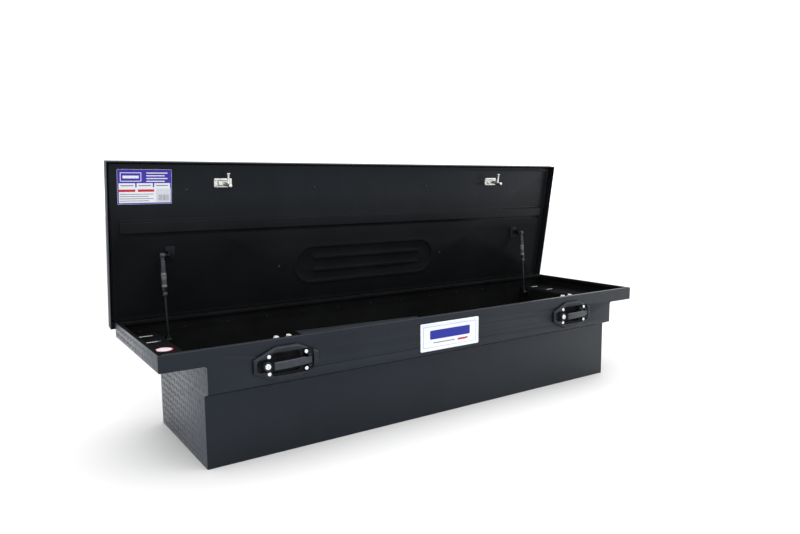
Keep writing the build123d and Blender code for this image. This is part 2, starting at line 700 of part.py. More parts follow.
def octagon(inset):
    """The escutcheon's eight-sided outline, drawn about the handle's middle."""
    half_x = ESCUTCHEON[0] / 2 - inset
    half_y = ESCUTCHEON[1] / 2 - inset
    flat = ESCUTCHEON_FLAT / 2 - inset * CORNER_SHARE
    upright = ESCUTCHEON_SIDE / 2 - inset * CORNER_SHARE
    with BuildLine() as outline:
        Polyline(
            (-flat, half_y),
            (flat, half_y),
            (half_x, upright),
            (half_x, -upright),
            (flat, -half_y),
            (-flat, -half_y),
            (-half_x, -upright),
            (-half_x, upright),
            close=True,
        )
    make_face(outline.edges())


def screw_holes(radius):
    with GridLocations(*SCREW_SPACING, 2, 2):
        Circle(radius, mode=Mode.SUBTRACT)


def inner_openings(wall):
    """The recess, tail and lock openings shared by the gasket and the backplate."""
    with Locations((RECESS_X, 0)):
        Rectangle(HANDLE_WINDOW[0] + wall, HANDLE_WINDOW[1] + wall, mode=Mode.SUBTRACT)
    with Locations(TAIL_SLOT_CENTRE):
        Rectangle(*TAIL_SLOT, mode=Mode.SUBTRACT)
    with Locations((LOCK_X, 0)):
        Circle(LOCK_HOLE_R, mode=Mode.SUBTRACT)


for side, handle_x in HANDLE_CENTRES.items():
    with BuildPart() as handle_housing:
        with BuildSketch(facing_front(handle_x, HANDLE_Z, -GASKET)):
            octagon(0)
        extrude(amount=BASE_THICKNESS)
        with BuildSketch(facing_front(handle_x, HANDLE_Z, -GASKET - BASE_THICKNESS)):
            octagon(ESCUTCHEON_EASE)
        extrude(amount=DOME_HEIGHT, taper=DOME_DRAFT)
        with BuildSketch(facing_front(handle_x, HANDLE_Z, -GASKET - WEB_OVER_WALL)):
            with Locations(((WINDOW_RIGHT + WINDOW_LEFT) / 2, 0)):
                RectangleRounded(WINDOW_RIGHT - WINDOW_LEFT, WINDOW_HEIGHT, POCKET_CORNER)
            with Locations((LOCK_X, 0)):
                RectangleRounded(*LOCK_POCKET, POCKET_CORNER)
        extrude(amount=BASE_THICKNESS + DOME_HEIGHT, mode=Mode.SUBTRACT)
        with BuildSketch(facing_front(handle_x, HANDLE_Z, -GASKET)):
            with GridLocations(*SCREW_SPACING, 2, 2):
                Circle(SCREW_PILLAR_R)
        extrude(amount=BASE_THICKNESS + DOME_HEIGHT)
        # finger recess behind the grip
        with BuildSketch(facing_front(handle_x, HANDLE_Z, RECESS_DEPTH)):
            with Locations((RECESS_X, 0)):
                RectangleRounded(*HANDLE_WINDOW, HANDLE_WINDOW_CORNER)
        extrude(amount=RECESS_DEPTH + GASKET + WEB_OVER_WALL / 2)
        with BuildSketch(facing_front(handle_x, HANDLE_Z, RECESS_DEPTH - RECESS_WALL)):
            with Locations((RECESS_X, 0)):
                recess = [side_length - 2 * RECESS_WALL for side_length in HANDLE_WINDOW]
                RectangleRounded(*recess, RECESS_INNER_CORNER)
        extrude(amount=2 * RECESS_DEPTH, mode=Mode.SUBTRACT)
        with BuildSketch(facing_front(handle_x, HANDLE_Z, SHEET)):
            with Locations(TAIL_SLOT_CENTRE):
                Rectangle(TAIL_SLOT[0] - PAST, TAIL_SLOT[1] - PAST)
        extrude(amount=2 * SHEET + 2 * PAST, mode=Mode.SUBTRACT)
        # lock boss
        with BuildSketch(facing_front(handle_x, HANDLE_Z, -GASKET)):
            with Locations((LOCK_X, 0)):
                Circle(LOCK_BOSS_R)
        extrude(amount=BOSS_HEIGHT - GASKET, taper=BOSS_DRAFT)
        with BuildSketch(facing_front(handle_x, HANDLE_Z, SHEET + PAST)):
            with Locations((LOCK_X, 0)):
                Circle(LOCK_BARREL_R + BARREL_CLEARANCE)
        extrude(amount=BOSS_HEIGHT + 2 * SHEET, mode=Mode.SUBTRACT)
        # ears that carry the grip's pivot pin
        for foot in (EAR_GAP, -EAR_GAP - EAR_THICKNESS):
            ear_plane = Plane(
                origin=(handle_x, FRONT_Y, HANDLE_Z + foot), x_dir=(1, 0, 0), z_dir=(0, 0, 1)
            )
            with BuildSketch(ear_plane):
                with Locations((PIVOT_X, -PIVOT_OUT)):
                    Circle(EAR_R)
                with Locations((PIVOT_X, -GASKET - PAST)):
                    Rectangle(2 * EAR_R, PIVOT_OUT - GASKET - PAST, align=(Align.CENTER, Align.MAX))
                with Locations((PIVOT_X, -PIVOT_OUT)):
                    Circle(PIVOT_PIN_R, mode=Mode.SUBTRACT)
            extrude(amount=EAR_THICKNESS)
        with BuildSketch(facing_front(handle_x, HANDLE_Z, 0)):
            with GridLocations(*SCREW_SPACING, 2, 2):
                Circle(SCREW_R)
        extrude(amount=BASE_THICKNESS + 2 * DOME_HEIGHT, mode=Mode.SUBTRACT)
    save(handle_housing.part, f"{side}_handle_housing")

    # grip bar: deepest at the lock end, tapering to the pivot, with its tail through the wall
    with BuildPart() as handle_grip:
        plan = Plane(origin=(handle_x, FRONT_Y, HANDLE_Z), x_dir=(1, 0, 0), z_dir=(0, 0, -1))
        with BuildSketch(plan):
            with BuildLine():
                Spline((-45, 28.5), (-10, 27.5), (30, 22.5), (62, 16.5))
                ThreePointArc((62, 16.5), (68, 11.5), (65, 7.5))
                Line((65, 7.5), (52, 7.5))
                Spline((52, 7.5), (30, 13), (-5, 18), (-45, 20))
                Line((-45, 20), (-45, 28.5))
            make_face()
        extrude(amount=GRIP_HALF_HEIGHT, both=True)
        long_edges = edges().filter_by(GeomType.BSPLINE)
        fillet(long_edges, GRIP_ROUND)
        # cheeks cut down to pass between the ears
        cheek = GRIP_HALF_HEIGHT - PIVOT_HALF_HEIGHT + PAST
        with BuildSketch(plan.offset(PIVOT_HALF_HEIGHT), plan.offset(-PIVOT_HALF_HEIGHT - cheek)):
            with Locations((PIVOT_X, PIVOT_OUT)):
                Rectangle(*CHEEK_CUT)
        extrude(amount=cheek, mode=Mode.SUBTRACT)
        tail_length = PIVOT_OUT + TAIL_REACH
        with BuildSketch(plan.offset(-TAIL_TOP)):
            with Locations((PIVOT_X, PIVOT_OUT)):
                Circle(TAIL_HUB_R)
                Rectangle(TAIL_WIDTH, tail_length, align=(Align.CENTER, Align.MAX))
        extrude(amount=TAIL_TOP + TAIL_BOTTOM)
        # room for the spring above the pivot
        with BuildSketch(plan.offset(-TAIL_TOP)):
            with Locations((PIVOT_X, PIVOT_OUT - SPRING_ROOM[1])):
                Rectangle(SPRING_ROOM[0], 2 * SPRING_ROOM[1], align=(Align.CENTER, Align.MIN))
        extrude(amount=TAIL_TOP - PIVOT_HALF_HEIGHT, mode=Mode.SUBTRACT)
        with BuildSketch(plan):
            with Locations((PIVOT_X, PIVOT_OUT)):
                Circle(PIVOT_BORE_R)
        extrude(amount=TAIL_TOP + PAST, both=True, mode=Mode.SUBTRACT)
    save(handle_grip.part, f"{side}_handle_grip")

    # key lock: barrel in the boss, with its cam behind the wall
    with BuildPart() as lock_cylinder:
        with BuildSketch(facing_front(handle_x, HANDLE_Z, BARREL_BACK)):
            with Locations((LOCK_X, 0)):
                Circle(LOCK_BARREL_R)
        extrude(amount=BOSS_HEIGHT + BARREL_BACK)
        barrel_front = faces().sort_by(Axis.Y)[0]
        chamfer(barrel_front.edges(), BARREL_CHAMFER)
        with BuildSketch(facing_front(handle_x, HANDLE_Z, -BOSS_HEIGHT)):
            with Locations((LOCK_X, 0)):
                Circle(PLUG_R)
        extrude(amount=PLUG_RISE)
        with BuildSketch(facing_front(handle_x, HANDLE_Z, -BOSS_HEIGHT - PLUG_RISE)):
            with Locations((LOCK_X, 0)):
                Rectangle(*KEYWAY)
        extrude(amount=-KEYWAY_DEPTH, mode=Mode.SUBTRACT)
    save(lock_cylinder.part, f"{side}_lock_cylinder")

    with BuildPart() as lock_cam:
        with BuildSketch(facing_front(handle_x, HANDLE_Z, BARREL_BACK + CAM_THICKNESS)):
            with Locations((LOCK_X, 0)):
                Circle(CAM_R)
                Rectangle(*CAM_ARM, align=(Align.CENTER, Align.MAX))
        extrude(amount=CAM_THICKNESS)
        with BuildSketch(facing_front(handle_x, HANDLE_Z, BARREL_BACK + CAM_THICKNESS + CAM_NUT)):
            with Locations((LOCK_X, 0)):
                RegularPolygon(CAM_NUT_R, 6)
        extrude(amount=CAM_NUT)
    save(lock_cam.part, f"{side}_lock_cam")

with BuildPart() as handle_gaskets:
    for handle_x in HANDLE_CENTRES.values():
        with BuildSketch(facing_front(handle_x, HANDLE_Z, 0)):
            octagon(GASKET_INSET)
            inner_openings(0)
            screw_holes(SCREW_R)
        extrude(amount=GASKET)
save(handle_gaskets.part, "handle_gaskets")

# the backplate clamps the housing to the wall and carries the latch on two studs
LATCH_STUD_X = 31.0
LATCH_STUD_Z = 10.0  # above the striker pin's closed height
BACKPLATE_RISE = 14.0  # extra height above the handle's middle for the studs

with BuildPart() as handle_backplates:
    for handle_x in HANDLE_CENTRES.values():
        with BuildSketch(facing_front(handle_x, HANDLE_Z, BACKPLATE_INSET + BACKPLATE_THICKNESS)):
            with Locations((0, BACKPLATE_RISE / 2)):
                RectangleRounded(BACKPLATE_SIZE[0], BACKPLATE_SIZE[1] + BACKPLATE_RISE, BACKPLATE_CORNER)
            inner_openings(BACKPLATE_GAP)
            screw_holes(SCREW_R)
        extrude(amount=BACKPLATE_THICKNESS)
save(handle_backplates.part, "handle_backplates")

SCREW_HEAD_R = 5.6
SCREW_HEAD = 3.0
SCREW_HEAD_DRAFT = 18.0
SCREW_BACK = 9.0  # screw's end behind the wall's outer face
SCREW_SOCKET_R = 2.6
SCREW_SOCKET_DEPTH = 2.0
SCREW_HEAD_SEAT = GASKET + BASE_THICKNESS + DOME_HEIGHT

with BuildPart() as handle_screws:
    for handle_x in HANDLE_CENTRES.values():
        with BuildSketch(facing_front(handle_x, HANDLE_Z, -SCREW_HEAD_SEAT)):
            with GridLocations(*SCREW_SPACING, 2, 2):
                Circle(SCREW_HEAD_R)
        extrude(amount=SCREW_HEAD, taper=SCREW_HEAD_DRAFT)
        with BuildSketch(facing_front(handle_x, HANDLE_Z, -SCREW_HEAD_SEAT)):
            with GridLocations(*SCREW_SPACING, 2, 2):
                Circle(SCREW_R)
        extrude(amount=-SCREW_HEAD_SEAT - SCREW_BACK)
        with BuildSketch(facing_front(handle_x, HANDLE_Z, -SCREW_HEAD_SEAT - SCREW_HEAD)):
            with GridLocations(*SCREW_SPACING, 2, 2):
                RegularPolygon(SCREW_SOCKET_R, 6)
        extrude(amount=-SCREW_SOCKET_DEPTH, mode=Mode.SUBTRACT)
save(handle_screws.part, "handle_screws")

with BuildPart() as handle_pivot_pins:
    for handle_x in HANDLE_CENTRES.values():
        pin_length = 2 * (EAR_GAP + EAR_THICKNESS)
        with BuildSketch(Plane.XY.offset(HANDLE_Z - pin_length / 2)):
            with Locations((handle_x + PIVOT_X, FRONT_Y - PIVOT_OUT)):
                Circle(PIVOT_PIN_R)
        extrude(amount=pin_length)
save(handle_pivot_pins.part, "handle_pivot_pins")

SPRING_LENGTH = 3.8
SPRING_BELOW_EAR = 4.0
SPRING_OUTER_R = 4.4
SPRING_INNER_R = 2.8

with BuildPart() as handle_springs:
    for handle_x in HANDLE_CENTRES.values():
        above_grip = Plane(
            origin=(handle_x + PIVOT_X, FRONT_Y - PIVOT_OUT, HANDLE_Z + EAR_GAP - SPRING_BELOW_EAR),
            x_dir=(1, 0, 0),
            z_dir=(0, 0, 1),
        )
        with BuildSketch(above_grip):
            Circle(SPRING_OUTER_R)
            Circle(SPRING_INNER_R, mode=Mode.SUBTRACT)
        extrude(amount=SPRING_LENGTH)
save(handle_springs.part, "handle_springs")

# ---------------------------------------------------------------- rotary latches
PLATE = 2.0
FRONT_PLATE_INSET = 22.5
JAW_INSET = 25.5
JAW_THICKNESS = 4.0
BACK_PLATE_INSET = 30.5
JAW_PIVOT = (16.0, -14.0)
JAW_PIN_R = 3.0
JAW_BORE_R = 3.06
JAW_INNER_R = 6.7
JAW_OUTER_R = 14.0
JAW_OPEN_ANGLE = 35.0
BAR_INSET = 17.0
BAR_THICKNESS = 4.0
BAR_HEIGHT = 12.0
BAR_TRAVEL = 12.0
BAR_LEFT = -36.0  # ends beside the handle's middle
BAR_RIGHT = PIVOT_X - 4.7
LATCH_HALF_WIDTH = 37.0
LATCH_TOP = BODY_HEIGHT - STRIKER_Z + 0.8
LATCH_BOTTOM = -30.0
SHOULDER = 18.0  # plate's full width ends here, above the striker pin
HORN = (13.0, 22.0)  # inner and outer edge of each horn beside the mouth
MOUTH = 7.0  # half width of the mouth round the pin
MOUTH_FLARE = 8.0  # where the mouth starts to flare
JAW_TIP = 94.0  # ends of a shut hook, degrees round the pin
JAW_HEEL = 262.0
JAW_HUB_R = 6.5
JAW_ARM = 11.0
JAW_ARM_OUT = 15.5
SLOT_PLAY = (1.0, 0.6)  # bar's slots longer and wider than the pins need
PIN_END = 6.0  # behind the rear plate
SPRING_R = 5.6
SPRING_THICKNESS = 4.6
SPRING_LEG = (14.0, 1.6)
SPRING_LEG_UP = 4.6
SPRING_BACK = 5.0
SPRING_PLAY = 0.4
STUD_SPACER_R = 5.0
STUD_NUT_R = 5.5
STUD_NUT = 4.0


def latch_plate_outline():
    """One side plate: a broad foot, two ears and a flared mouth for the striker pin."""
    with BuildLine() as outline:
        Polyline(
            (LATCH_HALF_WIDTH, LATCH_BOTTOM),
            (LATCH_HALF_WIDTH, SHOULDER),
            (HORN[1], LATCH_TOP),
            (HORN[0], LATCH_TOP),
            (MOUTH, MOUTH_FLARE),
            (MOUTH, 0),
        )
        ThreePointArc((MOUTH, 0), (0, -MOUTH), (-MOUTH, 0))
        Polyline(
            (-MOUTH, 0),
            (-MOUTH, MOUTH_FLARE),
            (-HORN[0], LATCH_TOP),
            (-HORN[1], LATCH_TOP),
            (-LATCH_HALF_WIDTH, SHOULDER),
            (-LATCH_HALF_WIDTH, LATCH_BOTTOM),
            (LATCH_HALF_WIDTH, LATCH_BOTTOM),
        )
    make_face(outline.edges())


def round_pin(radius, angle):
    return (radius * cos(radians(angle)), radius * sin(radians(angle)))


def jaw(sign):
    """One hook, drawn shut about the pin and then swung open on its pivot."""
    pivot = (sign * JAW_PIVOT[0], JAW_PIVOT[1])
    with BuildSketch() as shut:
        with BuildLine():
            inner_tip, outer_tip = (round_pin(r, JAW_TIP) for r in (JAW_INNER_R, JAW_OUTER_R))
            inner_heel, outer_heel = (round_pin(r, JAW_HEEL) for r in (JAW_INNER_R, JAW_OUTER_R))
            ThreePointArc(inner_tip, (-JAW_INNER_R, 0), inner_heel)
            Line(inner_heel, outer_heel)
            ThreePointArc(outer_heel, (-JAW_OUTER_R, 0), outer_tip)
            Line(outer_tip, inner_tip)
        make_face()
        with PolarLocations(JAW_ARM_OUT, 1, degrees(atan2(JAW_PIVOT[1], -JAW_PIVOT[0]))):
            Rectangle(JAW_ARM, JAW_ARM)
        with Locations((-JAW_PIVOT[0], JAW_PIVOT[1])):
            Circle(JAW_HUB_R)
            Circle(JAW_BORE_R, mode=Mode.SUBTRACT)
    face = shut.sketch if sign < 0 else mirror(shut.sketch, about=Plane.YZ, mode=Mode.PRIVATE)
    swing = JAW_OPEN_ANGLE if sign < 0 else -JAW_OPEN_ANGLE
    return Pos(*pivot) * Rot(0, 0, swing) * Pos(-pivot[0], -pivot[1]) * face


for side, handle_x in HANDLE_CENTRES.items():
    latch_x = handle_x + LATCH_OFFSET
    with BuildPart() as latch_housing:
        for inset in (FRONT_PLATE_INSET + PLATE, BACK_PLATE_INSET + PLATE):
            with BuildSketch(facing_front(latch_x, STRIKER_Z, inset)):
                latch_plate_outline()
                for sign in LEFT_RIGHT.values():
                    with Locations((sign * JAW_PIVOT[0], JAW_PIVOT[1])):
                        Circle(JAW_PIN_R, mode=Mode.SUBTRACT)
                    with Locations((sign * LATCH_STUD_X, LATCH_STUD_Z)):
                        Circle(JAW_PIN_R, mode=Mode.SUBTRACT)
            extrude(amount=PLATE)
        # folded foot that joins the two plates
        with BuildSketch(facing_front(latch_x, STRIKER_Z, BACK_PLATE_INSET)):
            with Locations((0, LATCH_BOTTOM)):
                Rectangle(2 * LATCH_HALF_WIDTH, PLATE, align=(Align.CENTER, Align.MIN))
        extrude(amount=BACK_PLATE_INSET - FRONT_PLATE_INSET - PLATE)
    save(latch_housing.part, f"{side}_latch_housing")

    for place, sign in (("outer", -1), ("inner", 1)):
        with BuildPart() as latch_jaw:
            with BuildSketch(facing_front(latch_x, STRIKER_Z, JAW_INSET + JAW_THICKNESS)):
                add(jaw(sign))
            extrude(amount=JAW_THICKNESS)
        save(latch_jaw.part, f"{side}_latch_{place}_jaw")

    # slotted bar between the grip's tail and the latch, guided by the jaw pivots
    with BuildPart() as release_bar:
        bar_z = STRIKER_Z + JAW_PIVOT[1]
        left_end = handle_x + BAR_LEFT
        right_end = handle_x + BAR_RIGHT
        with BuildSketch(facing_front(0, bar_z, BAR_INSET + BAR_THICKNESS)):
            with Locations(((left_end + right_end) / 2, 0)):
                Rectangle(right_end - left_end, BAR_HEIGHT)
            for sign in LEFT_RIGHT.values():
                with Locations((latch_x + sign * JAW_PIVOT[0] + BAR_TRAVEL / 2, 0)):
                    slot_length = BAR_TRAVEL + 2 * JAW_PIN_R + SLOT_PLAY[0]
                    SlotOverall(slot_length, 2 * JAW_PIN_R + SLOT_PLAY[1], mode=Mode.SUBTRACT)
        extrude(amount=BAR_THICKNESS)
    save(release_bar.part, f"{side}_release_bar")

REAR_PLATE_BACK = BACK_PLATE_INSET + PLATE

with BuildPart() as latch_pivot_pins:
    pin_front = BAR_INSET - PLATE
    for handle_x in HANDLE_CENTRES.values():
        with BuildSketch(facing_front(handle_x + LATCH_OFFSET, STRIKER_Z, pin_front)):
            for sign in LEFT_RIGHT.values():
                with Locations((sign * JAW_PIVOT[0], JAW_PIVOT[1])):
                    Circle(JAW_PIN_R)
        extrude(amount=pin_front - REAR_PLATE_BACK - PIN_END)
save(latch_pivot_pins.part, "latch_pivot_pins")

with BuildPart() as latch_springs:
    for handle_x in HANDLE_CENTRES.values():
        for sign in LEFT_RIGHT.values():
            behind_latch = facing_front(
                handle_x + LATCH_OFFSET + sign * JAW_PIVOT[0],
                STRIKER_Z + JAW_PIVOT[1],
                REAR_PLATE_BACK + SPRING_BACK,
            )
            with BuildSketch(behind_latch):
                Circle(SPRING_R)
                Circle(JAW_PIN_R + SPRING_PLAY, mode=Mode.SUBTRACT)
                with Locations((0, SPRING_LEG_UP)):
                    Rectangle(sign * SPRING_LEG[0], SPRING_LEG[1], align=(Align.MIN, Align.CENTER))
            extrude(amount=SPRING_THICKNESS)
save(latch_springs.part, "latch_springs")

with BuildPart() as latch_studs:
    stud_start = BACKPLATE_INSET + BACKPLATE_THICKNESS
    for handle_x in HANDLE_CENTRES.values():
        latch_x = handle_x + LATCH_OFFSET
        for start, end, size in (
            (stud_start, FRONT_PLATE_INSET, STUD_SPACER_R),
            (FRONT_PLATE_INSET, REAR_PLATE_BACK + PIN_END, JAW_PIN_R),
            (REAR_PLATE_BACK, REAR_PLATE_BACK + STUD_NUT, STUD_NUT_R),
        ):
            with BuildSketch(facing_front(latch_x, STRIKER_Z, end)):
                with Locations((LATCH_STUD_X, LATCH_STUD_Z), (-LATCH_STUD_X, LATCH_STUD_Z)):
                    Circle(size)
            extrude(amount=end - start)
save(latch_studs.part, "latch_studs")

# ---------------------------------------------------------------- gas springs
STRUT_TOP_RISE = 0.75  # upper pivot above the hinge axis with the lid closed
SOCKET_R = 8.0
SOCKET_HALF_WIDTH = 7.0
SOCKET_BORE_R = 5.35
NECK_R = 6.0
TUBE_START = 13.0
TUBE_END = 122.0
TUBE_R = 7.5
TUBE_BORE_R = 5.9
PISTON_START = TUBE_END - 14
PISTON_LENGTH = 5.0
PISTON_R = TUBE_BORE_R - 0.35
ROD_R = 3.0
ROD_BORE_R = 3.06
BALL_R = 5.0
STUD_R = 3.5
OPEN_PIVOT_GAP = 1.0  # upper ball beside its socket, not in it
BLIND_GAP = 0.5  # between a ball and its socket's blind end
TUBE_CHAMFER = 1.2
TUBE_TOP_WALL = 3.0
TUBE_SEAL = 8.0  # solid guide at the tube's rod end
SEAL_BORE_START = 9.0
ROD_SHORT = SOCKET_R + 4.0  # rod's end before the lower pivot
LOWER_NECK = 5.0
NECK_START = SOCKET_R - 1.0
BALL_WIDTH = 8.0
SHOULDER_R = 6.0
SHOULDER_REACH = 8.0
BRACKET = 3.0
BRACKET_CORNER = 5.0
FOOT_PLATE = (34.0, 44.0)
FOOT_PLATE_DROP = 8.0
HEAD_PLATE = (30.0, 44.0)
HEAD_PLATE_OFFSET = 8.0
LEG_OFFSET = 20.0  # bracket's leg beside the gas spring
LEG_R = 9.0
HEAD_BALL_WIDTH = 5.0

TOP_PIVOT = LID.from_local_coords((0, -STRUT_ON_LID, STRUT_TOP_RISE))
LEAN = radians(STRUT_LEAN)
DOWN = Vector(0, -sin(LEAN), -cos(LEAN))
LOW_PIVOT = TOP_PIVOT + DOWN * STRUT_LENGTH


def strut_plane(x, start):
    """Across the gas spring, looking down it, start below the upper pivot."""
    origin = TOP_PIVOT + DOWN * start + Vector(x, 0, 0)
    return Plane(origin=origin, x_dir=(1, 0, 0), z_dir=DOWN)


def cross_plane(point, x):
    """Across the box through a pivot."""
    return Plane(origin=(x, point.Y, point.Z), x_dir=(0, 1, 0), z_dir=(1, 0, 0))


def socket(point, x, toward, plane, depth):
    """A plastic end fitting: a round eye with its bore open towards the stud, and a neck."""
    with BuildSketch(cross_plane(point, x - SOCKET_HALF_WIDTH)) as eye:
        Circle(SOCKET_R)
    extrude(eye.sketch, amount=2 * SOCKET_HALF_WIDTH)
    with BuildSketch(plane) as neck:
        Circle(NECK_R)
    extrude(neck.sketch, amount=depth)
    blind_end = x - toward * (BALL_R + BLIND_GAP)
    with BuildSketch(cross_plane(point, blind_end)) as bore:
        Circle(SOCKET_BORE_R)
    extrude(bore.sketch, amount=toward * 2 * SOCKET_R, mode=Mode.SUBTRACT)


for side, sign in LEFT_RIGHT.items():
    x = sign * STRUT_X
    with BuildPart() as strut_cylinder:
        with BuildSketch(strut_plane(x, TUBE_START)):
            Circle(TUBE_R)
        extrude(amount=TUBE_END - TUBE_START)
        chamfer(edges().filter_by(GeomType.CIRCLE), TUBE_CHAMFER)
        with BuildSketch(strut_plane(x, TUBE_START + TUBE_TOP_WALL)):
            Circle(TUBE_BORE_R)
        extrude(amount=TUBE_END - TUBE_START - TUBE_TOP_WALL - TUBE_SEAL, mode=Mode.SUBTRACT)
        with BuildSketch(strut_plane(x, TUBE_END - SEAL_BORE_START)):
            Circle(ROD_BORE_R)
        extrude(amount=SEAL_BORE_START + PAST, mode=Mode.SUBTRACT)
    save(strut_cylinder.part, f"{side}_strut_cylinder")

    with BuildPart() as strut_upper_socket:
        socket(TOP_PIVOT, x, -sign, strut_plane(x, NECK_START), TUBE_START - NECK_START)
    save(strut_upper_socket.part, f"{side}_strut_upper_socket")

    with BuildPart() as strut_rod:
        rod_end = STRUT_LENGTH - ROD_SHORT
        with BuildSketch(strut_plane(x, PISTON_START + PISTON_LENGTH)):
            Circle(ROD_R)
        extrude(amount=rod_end - PISTON_START - PISTON_LENGTH)
        with BuildSketch(strut_plane(x, PISTON_START)):
            Circle(PISTON_R)
        extrude(amount=PISTON_LENGTH)
    save(strut_rod.part, f"{side}_strut_rod")

    with BuildPart() as strut_lower_socket:
        socket(LOW_PIVOT, x, sign, strut_plane(x, rod_end), LOWER_NECK)
    save(strut_lower_socket.part, f"{side}_strut_lower_socket")

    # bracket on the tub's end, its ball stud pointing into the box
    wall_x = sign * (HALF_TUB - SHEET)
    with BuildPart() as strut_foot:
        with BuildSketch(cross_plane(LOW_PIVOT, x - BALL_WIDTH / 2)):
            Circle(BALL_R)
        extrude(amount=BALL_WIDTH)
        chamfer(edges().filter_by(GeomType.CIRCLE), TUBE_CHAMFER)
        for reach, radius in ((HALF_TUB - SHEET - STRUT_X, STUD_R), (SHOULDER_REACH, SHOULDER_R)):
            with BuildSketch(cross_plane(LOW_PIVOT, min(wall_x, wall_x - sign * reach))):
                Circle(radius)
            extrude(amount=reach)
        with BuildSketch(cross_plane(LOW_PIVOT, min(wall_x, wall_x - sign * BRACKET))):
            with Locations((0, -FOOT_PLATE_DROP)):
                RectangleRounded(*FOOT_PLATE, BRACKET_CORNER)
        extrude(amount=BRACKET)
    save(strut_foot.part, f"{side}_strut_foot")

    # bracket under the lid, its ball stud pointing at the tub's end
    with BuildPart() as strut_head:
        leg_x = sign * (STRUT_X - LEG_OFFSET)
        with BuildSketch(lid_level(PAN_FACE)):
            with Locations((leg_x - sign * HEAD_PLATE_OFFSET, -STRUT_ON_LID)):
                RectangleRounded(*HEAD_PLATE, BRACKET_CORNER)
        extrude(amount=-BRACKET)
        with BuildSketch(lid_across(leg_x)):
            with Locations((-STRUT_ON_LID, STRUT_TOP_RISE)):
                Circle(LEG_R)
            with Locations((-STRUT_ON_LID, PAN_FACE)):
                Rectangle(2 * LEG_R, PAN_FACE - STRUT_TOP_RISE, align=(Align.CENTER, Align.MAX))
        extrude(amount=sign * BRACKET)
        stud_end = sign * (STRUT_X - SOCKET_HALF_WIDTH - OPEN_PIVOT_GAP)
        with BuildSketch(lid_across(leg_x)):
            with Locations((-STRUT_ON_LID, STRUT_TOP_RISE)):
                Circle(STUD_R)
        extrude(amount=stud_end - leg_x)
        with BuildSketch(lid_across(stud_end - sign * HEAD_BALL_WIDTH)):
            with Locations((-STRUT_ON_LID, STRUT_TOP_RISE)):
                Circle(BALL_R)
        extrude(amount=sign * HEAD_BALL_WIDTH)
    save(strut_head.part, f"{side}_strut_head")
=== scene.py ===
import json
from math import cos, pi, radians, sin

import bmesh
import bpy
from mathutils import Matrix, Vector


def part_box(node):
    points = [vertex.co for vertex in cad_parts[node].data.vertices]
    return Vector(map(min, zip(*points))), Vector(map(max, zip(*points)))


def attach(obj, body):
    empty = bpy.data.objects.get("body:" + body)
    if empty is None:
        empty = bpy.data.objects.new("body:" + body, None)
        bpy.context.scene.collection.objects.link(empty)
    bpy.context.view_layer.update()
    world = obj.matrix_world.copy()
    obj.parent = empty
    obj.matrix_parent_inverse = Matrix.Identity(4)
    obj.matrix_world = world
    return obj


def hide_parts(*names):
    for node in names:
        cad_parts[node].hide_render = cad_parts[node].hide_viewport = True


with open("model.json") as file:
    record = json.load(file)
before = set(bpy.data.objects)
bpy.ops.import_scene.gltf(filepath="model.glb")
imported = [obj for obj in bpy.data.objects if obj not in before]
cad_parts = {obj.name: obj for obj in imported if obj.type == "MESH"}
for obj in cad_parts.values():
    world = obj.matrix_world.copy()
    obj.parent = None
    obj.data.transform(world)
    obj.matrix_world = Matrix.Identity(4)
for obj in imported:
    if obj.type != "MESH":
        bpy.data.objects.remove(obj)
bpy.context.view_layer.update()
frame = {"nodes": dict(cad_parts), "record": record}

# Truck tool box, lid open. Metres, in the CAD model's frame: +X along the box, front towards -Y, +Z up.

MM = 0.001
RECORD = frame["record"]
NODES = frame["nodes"]
SLOT_OF = {row["node"]: row["material_slot"] for row in RECORD["subparts"]}
BODY_OF = {node: body for body, nodes in RECORD["behaviour"]["bodies"].items() for node in nodes}
JOINTS = {joint["name"]: joint for joint in RECORD["behaviour"]["joints"]}
SIDES = {"left": -1, "right": 1}

# ---------------------------------------------------------------- measures taken from the frame
BODY_LOW = Vector((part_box("left_end_panel")[0].x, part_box("front_panel")[0].y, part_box("floor_panel")[0].z))
BODY_HIGH = Vector((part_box("right_end_panel")[1].x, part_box("rear_panel")[1].y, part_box("rear_panel")[1].z))
SHEET = 2 * MM
TUB_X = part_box("floor_panel")[1].x + SHEET
FRONT_Y = BODY_LOW.y
# the underside of the wing floors, which lies on the truck's rails
WING_Z = next(m["pos_m"][2] for m in RECORD["mounts"] if m["name"] == "left_rail_seat")

# the lid's own frame: x along the box, y towards the hinge, z out of the lid's top, as if closed
HINGE = Vector(JOINTS["lid_hinge"]["pos_m"])
LID_OPEN = radians(81.1)
LID = Matrix.Translation(HINGE) @ Matrix.Rotation(-LID_OPEN, 4, "X")
# the inner pan's face above the hinge axis, in that frame
PAN_Z = 23 * MM


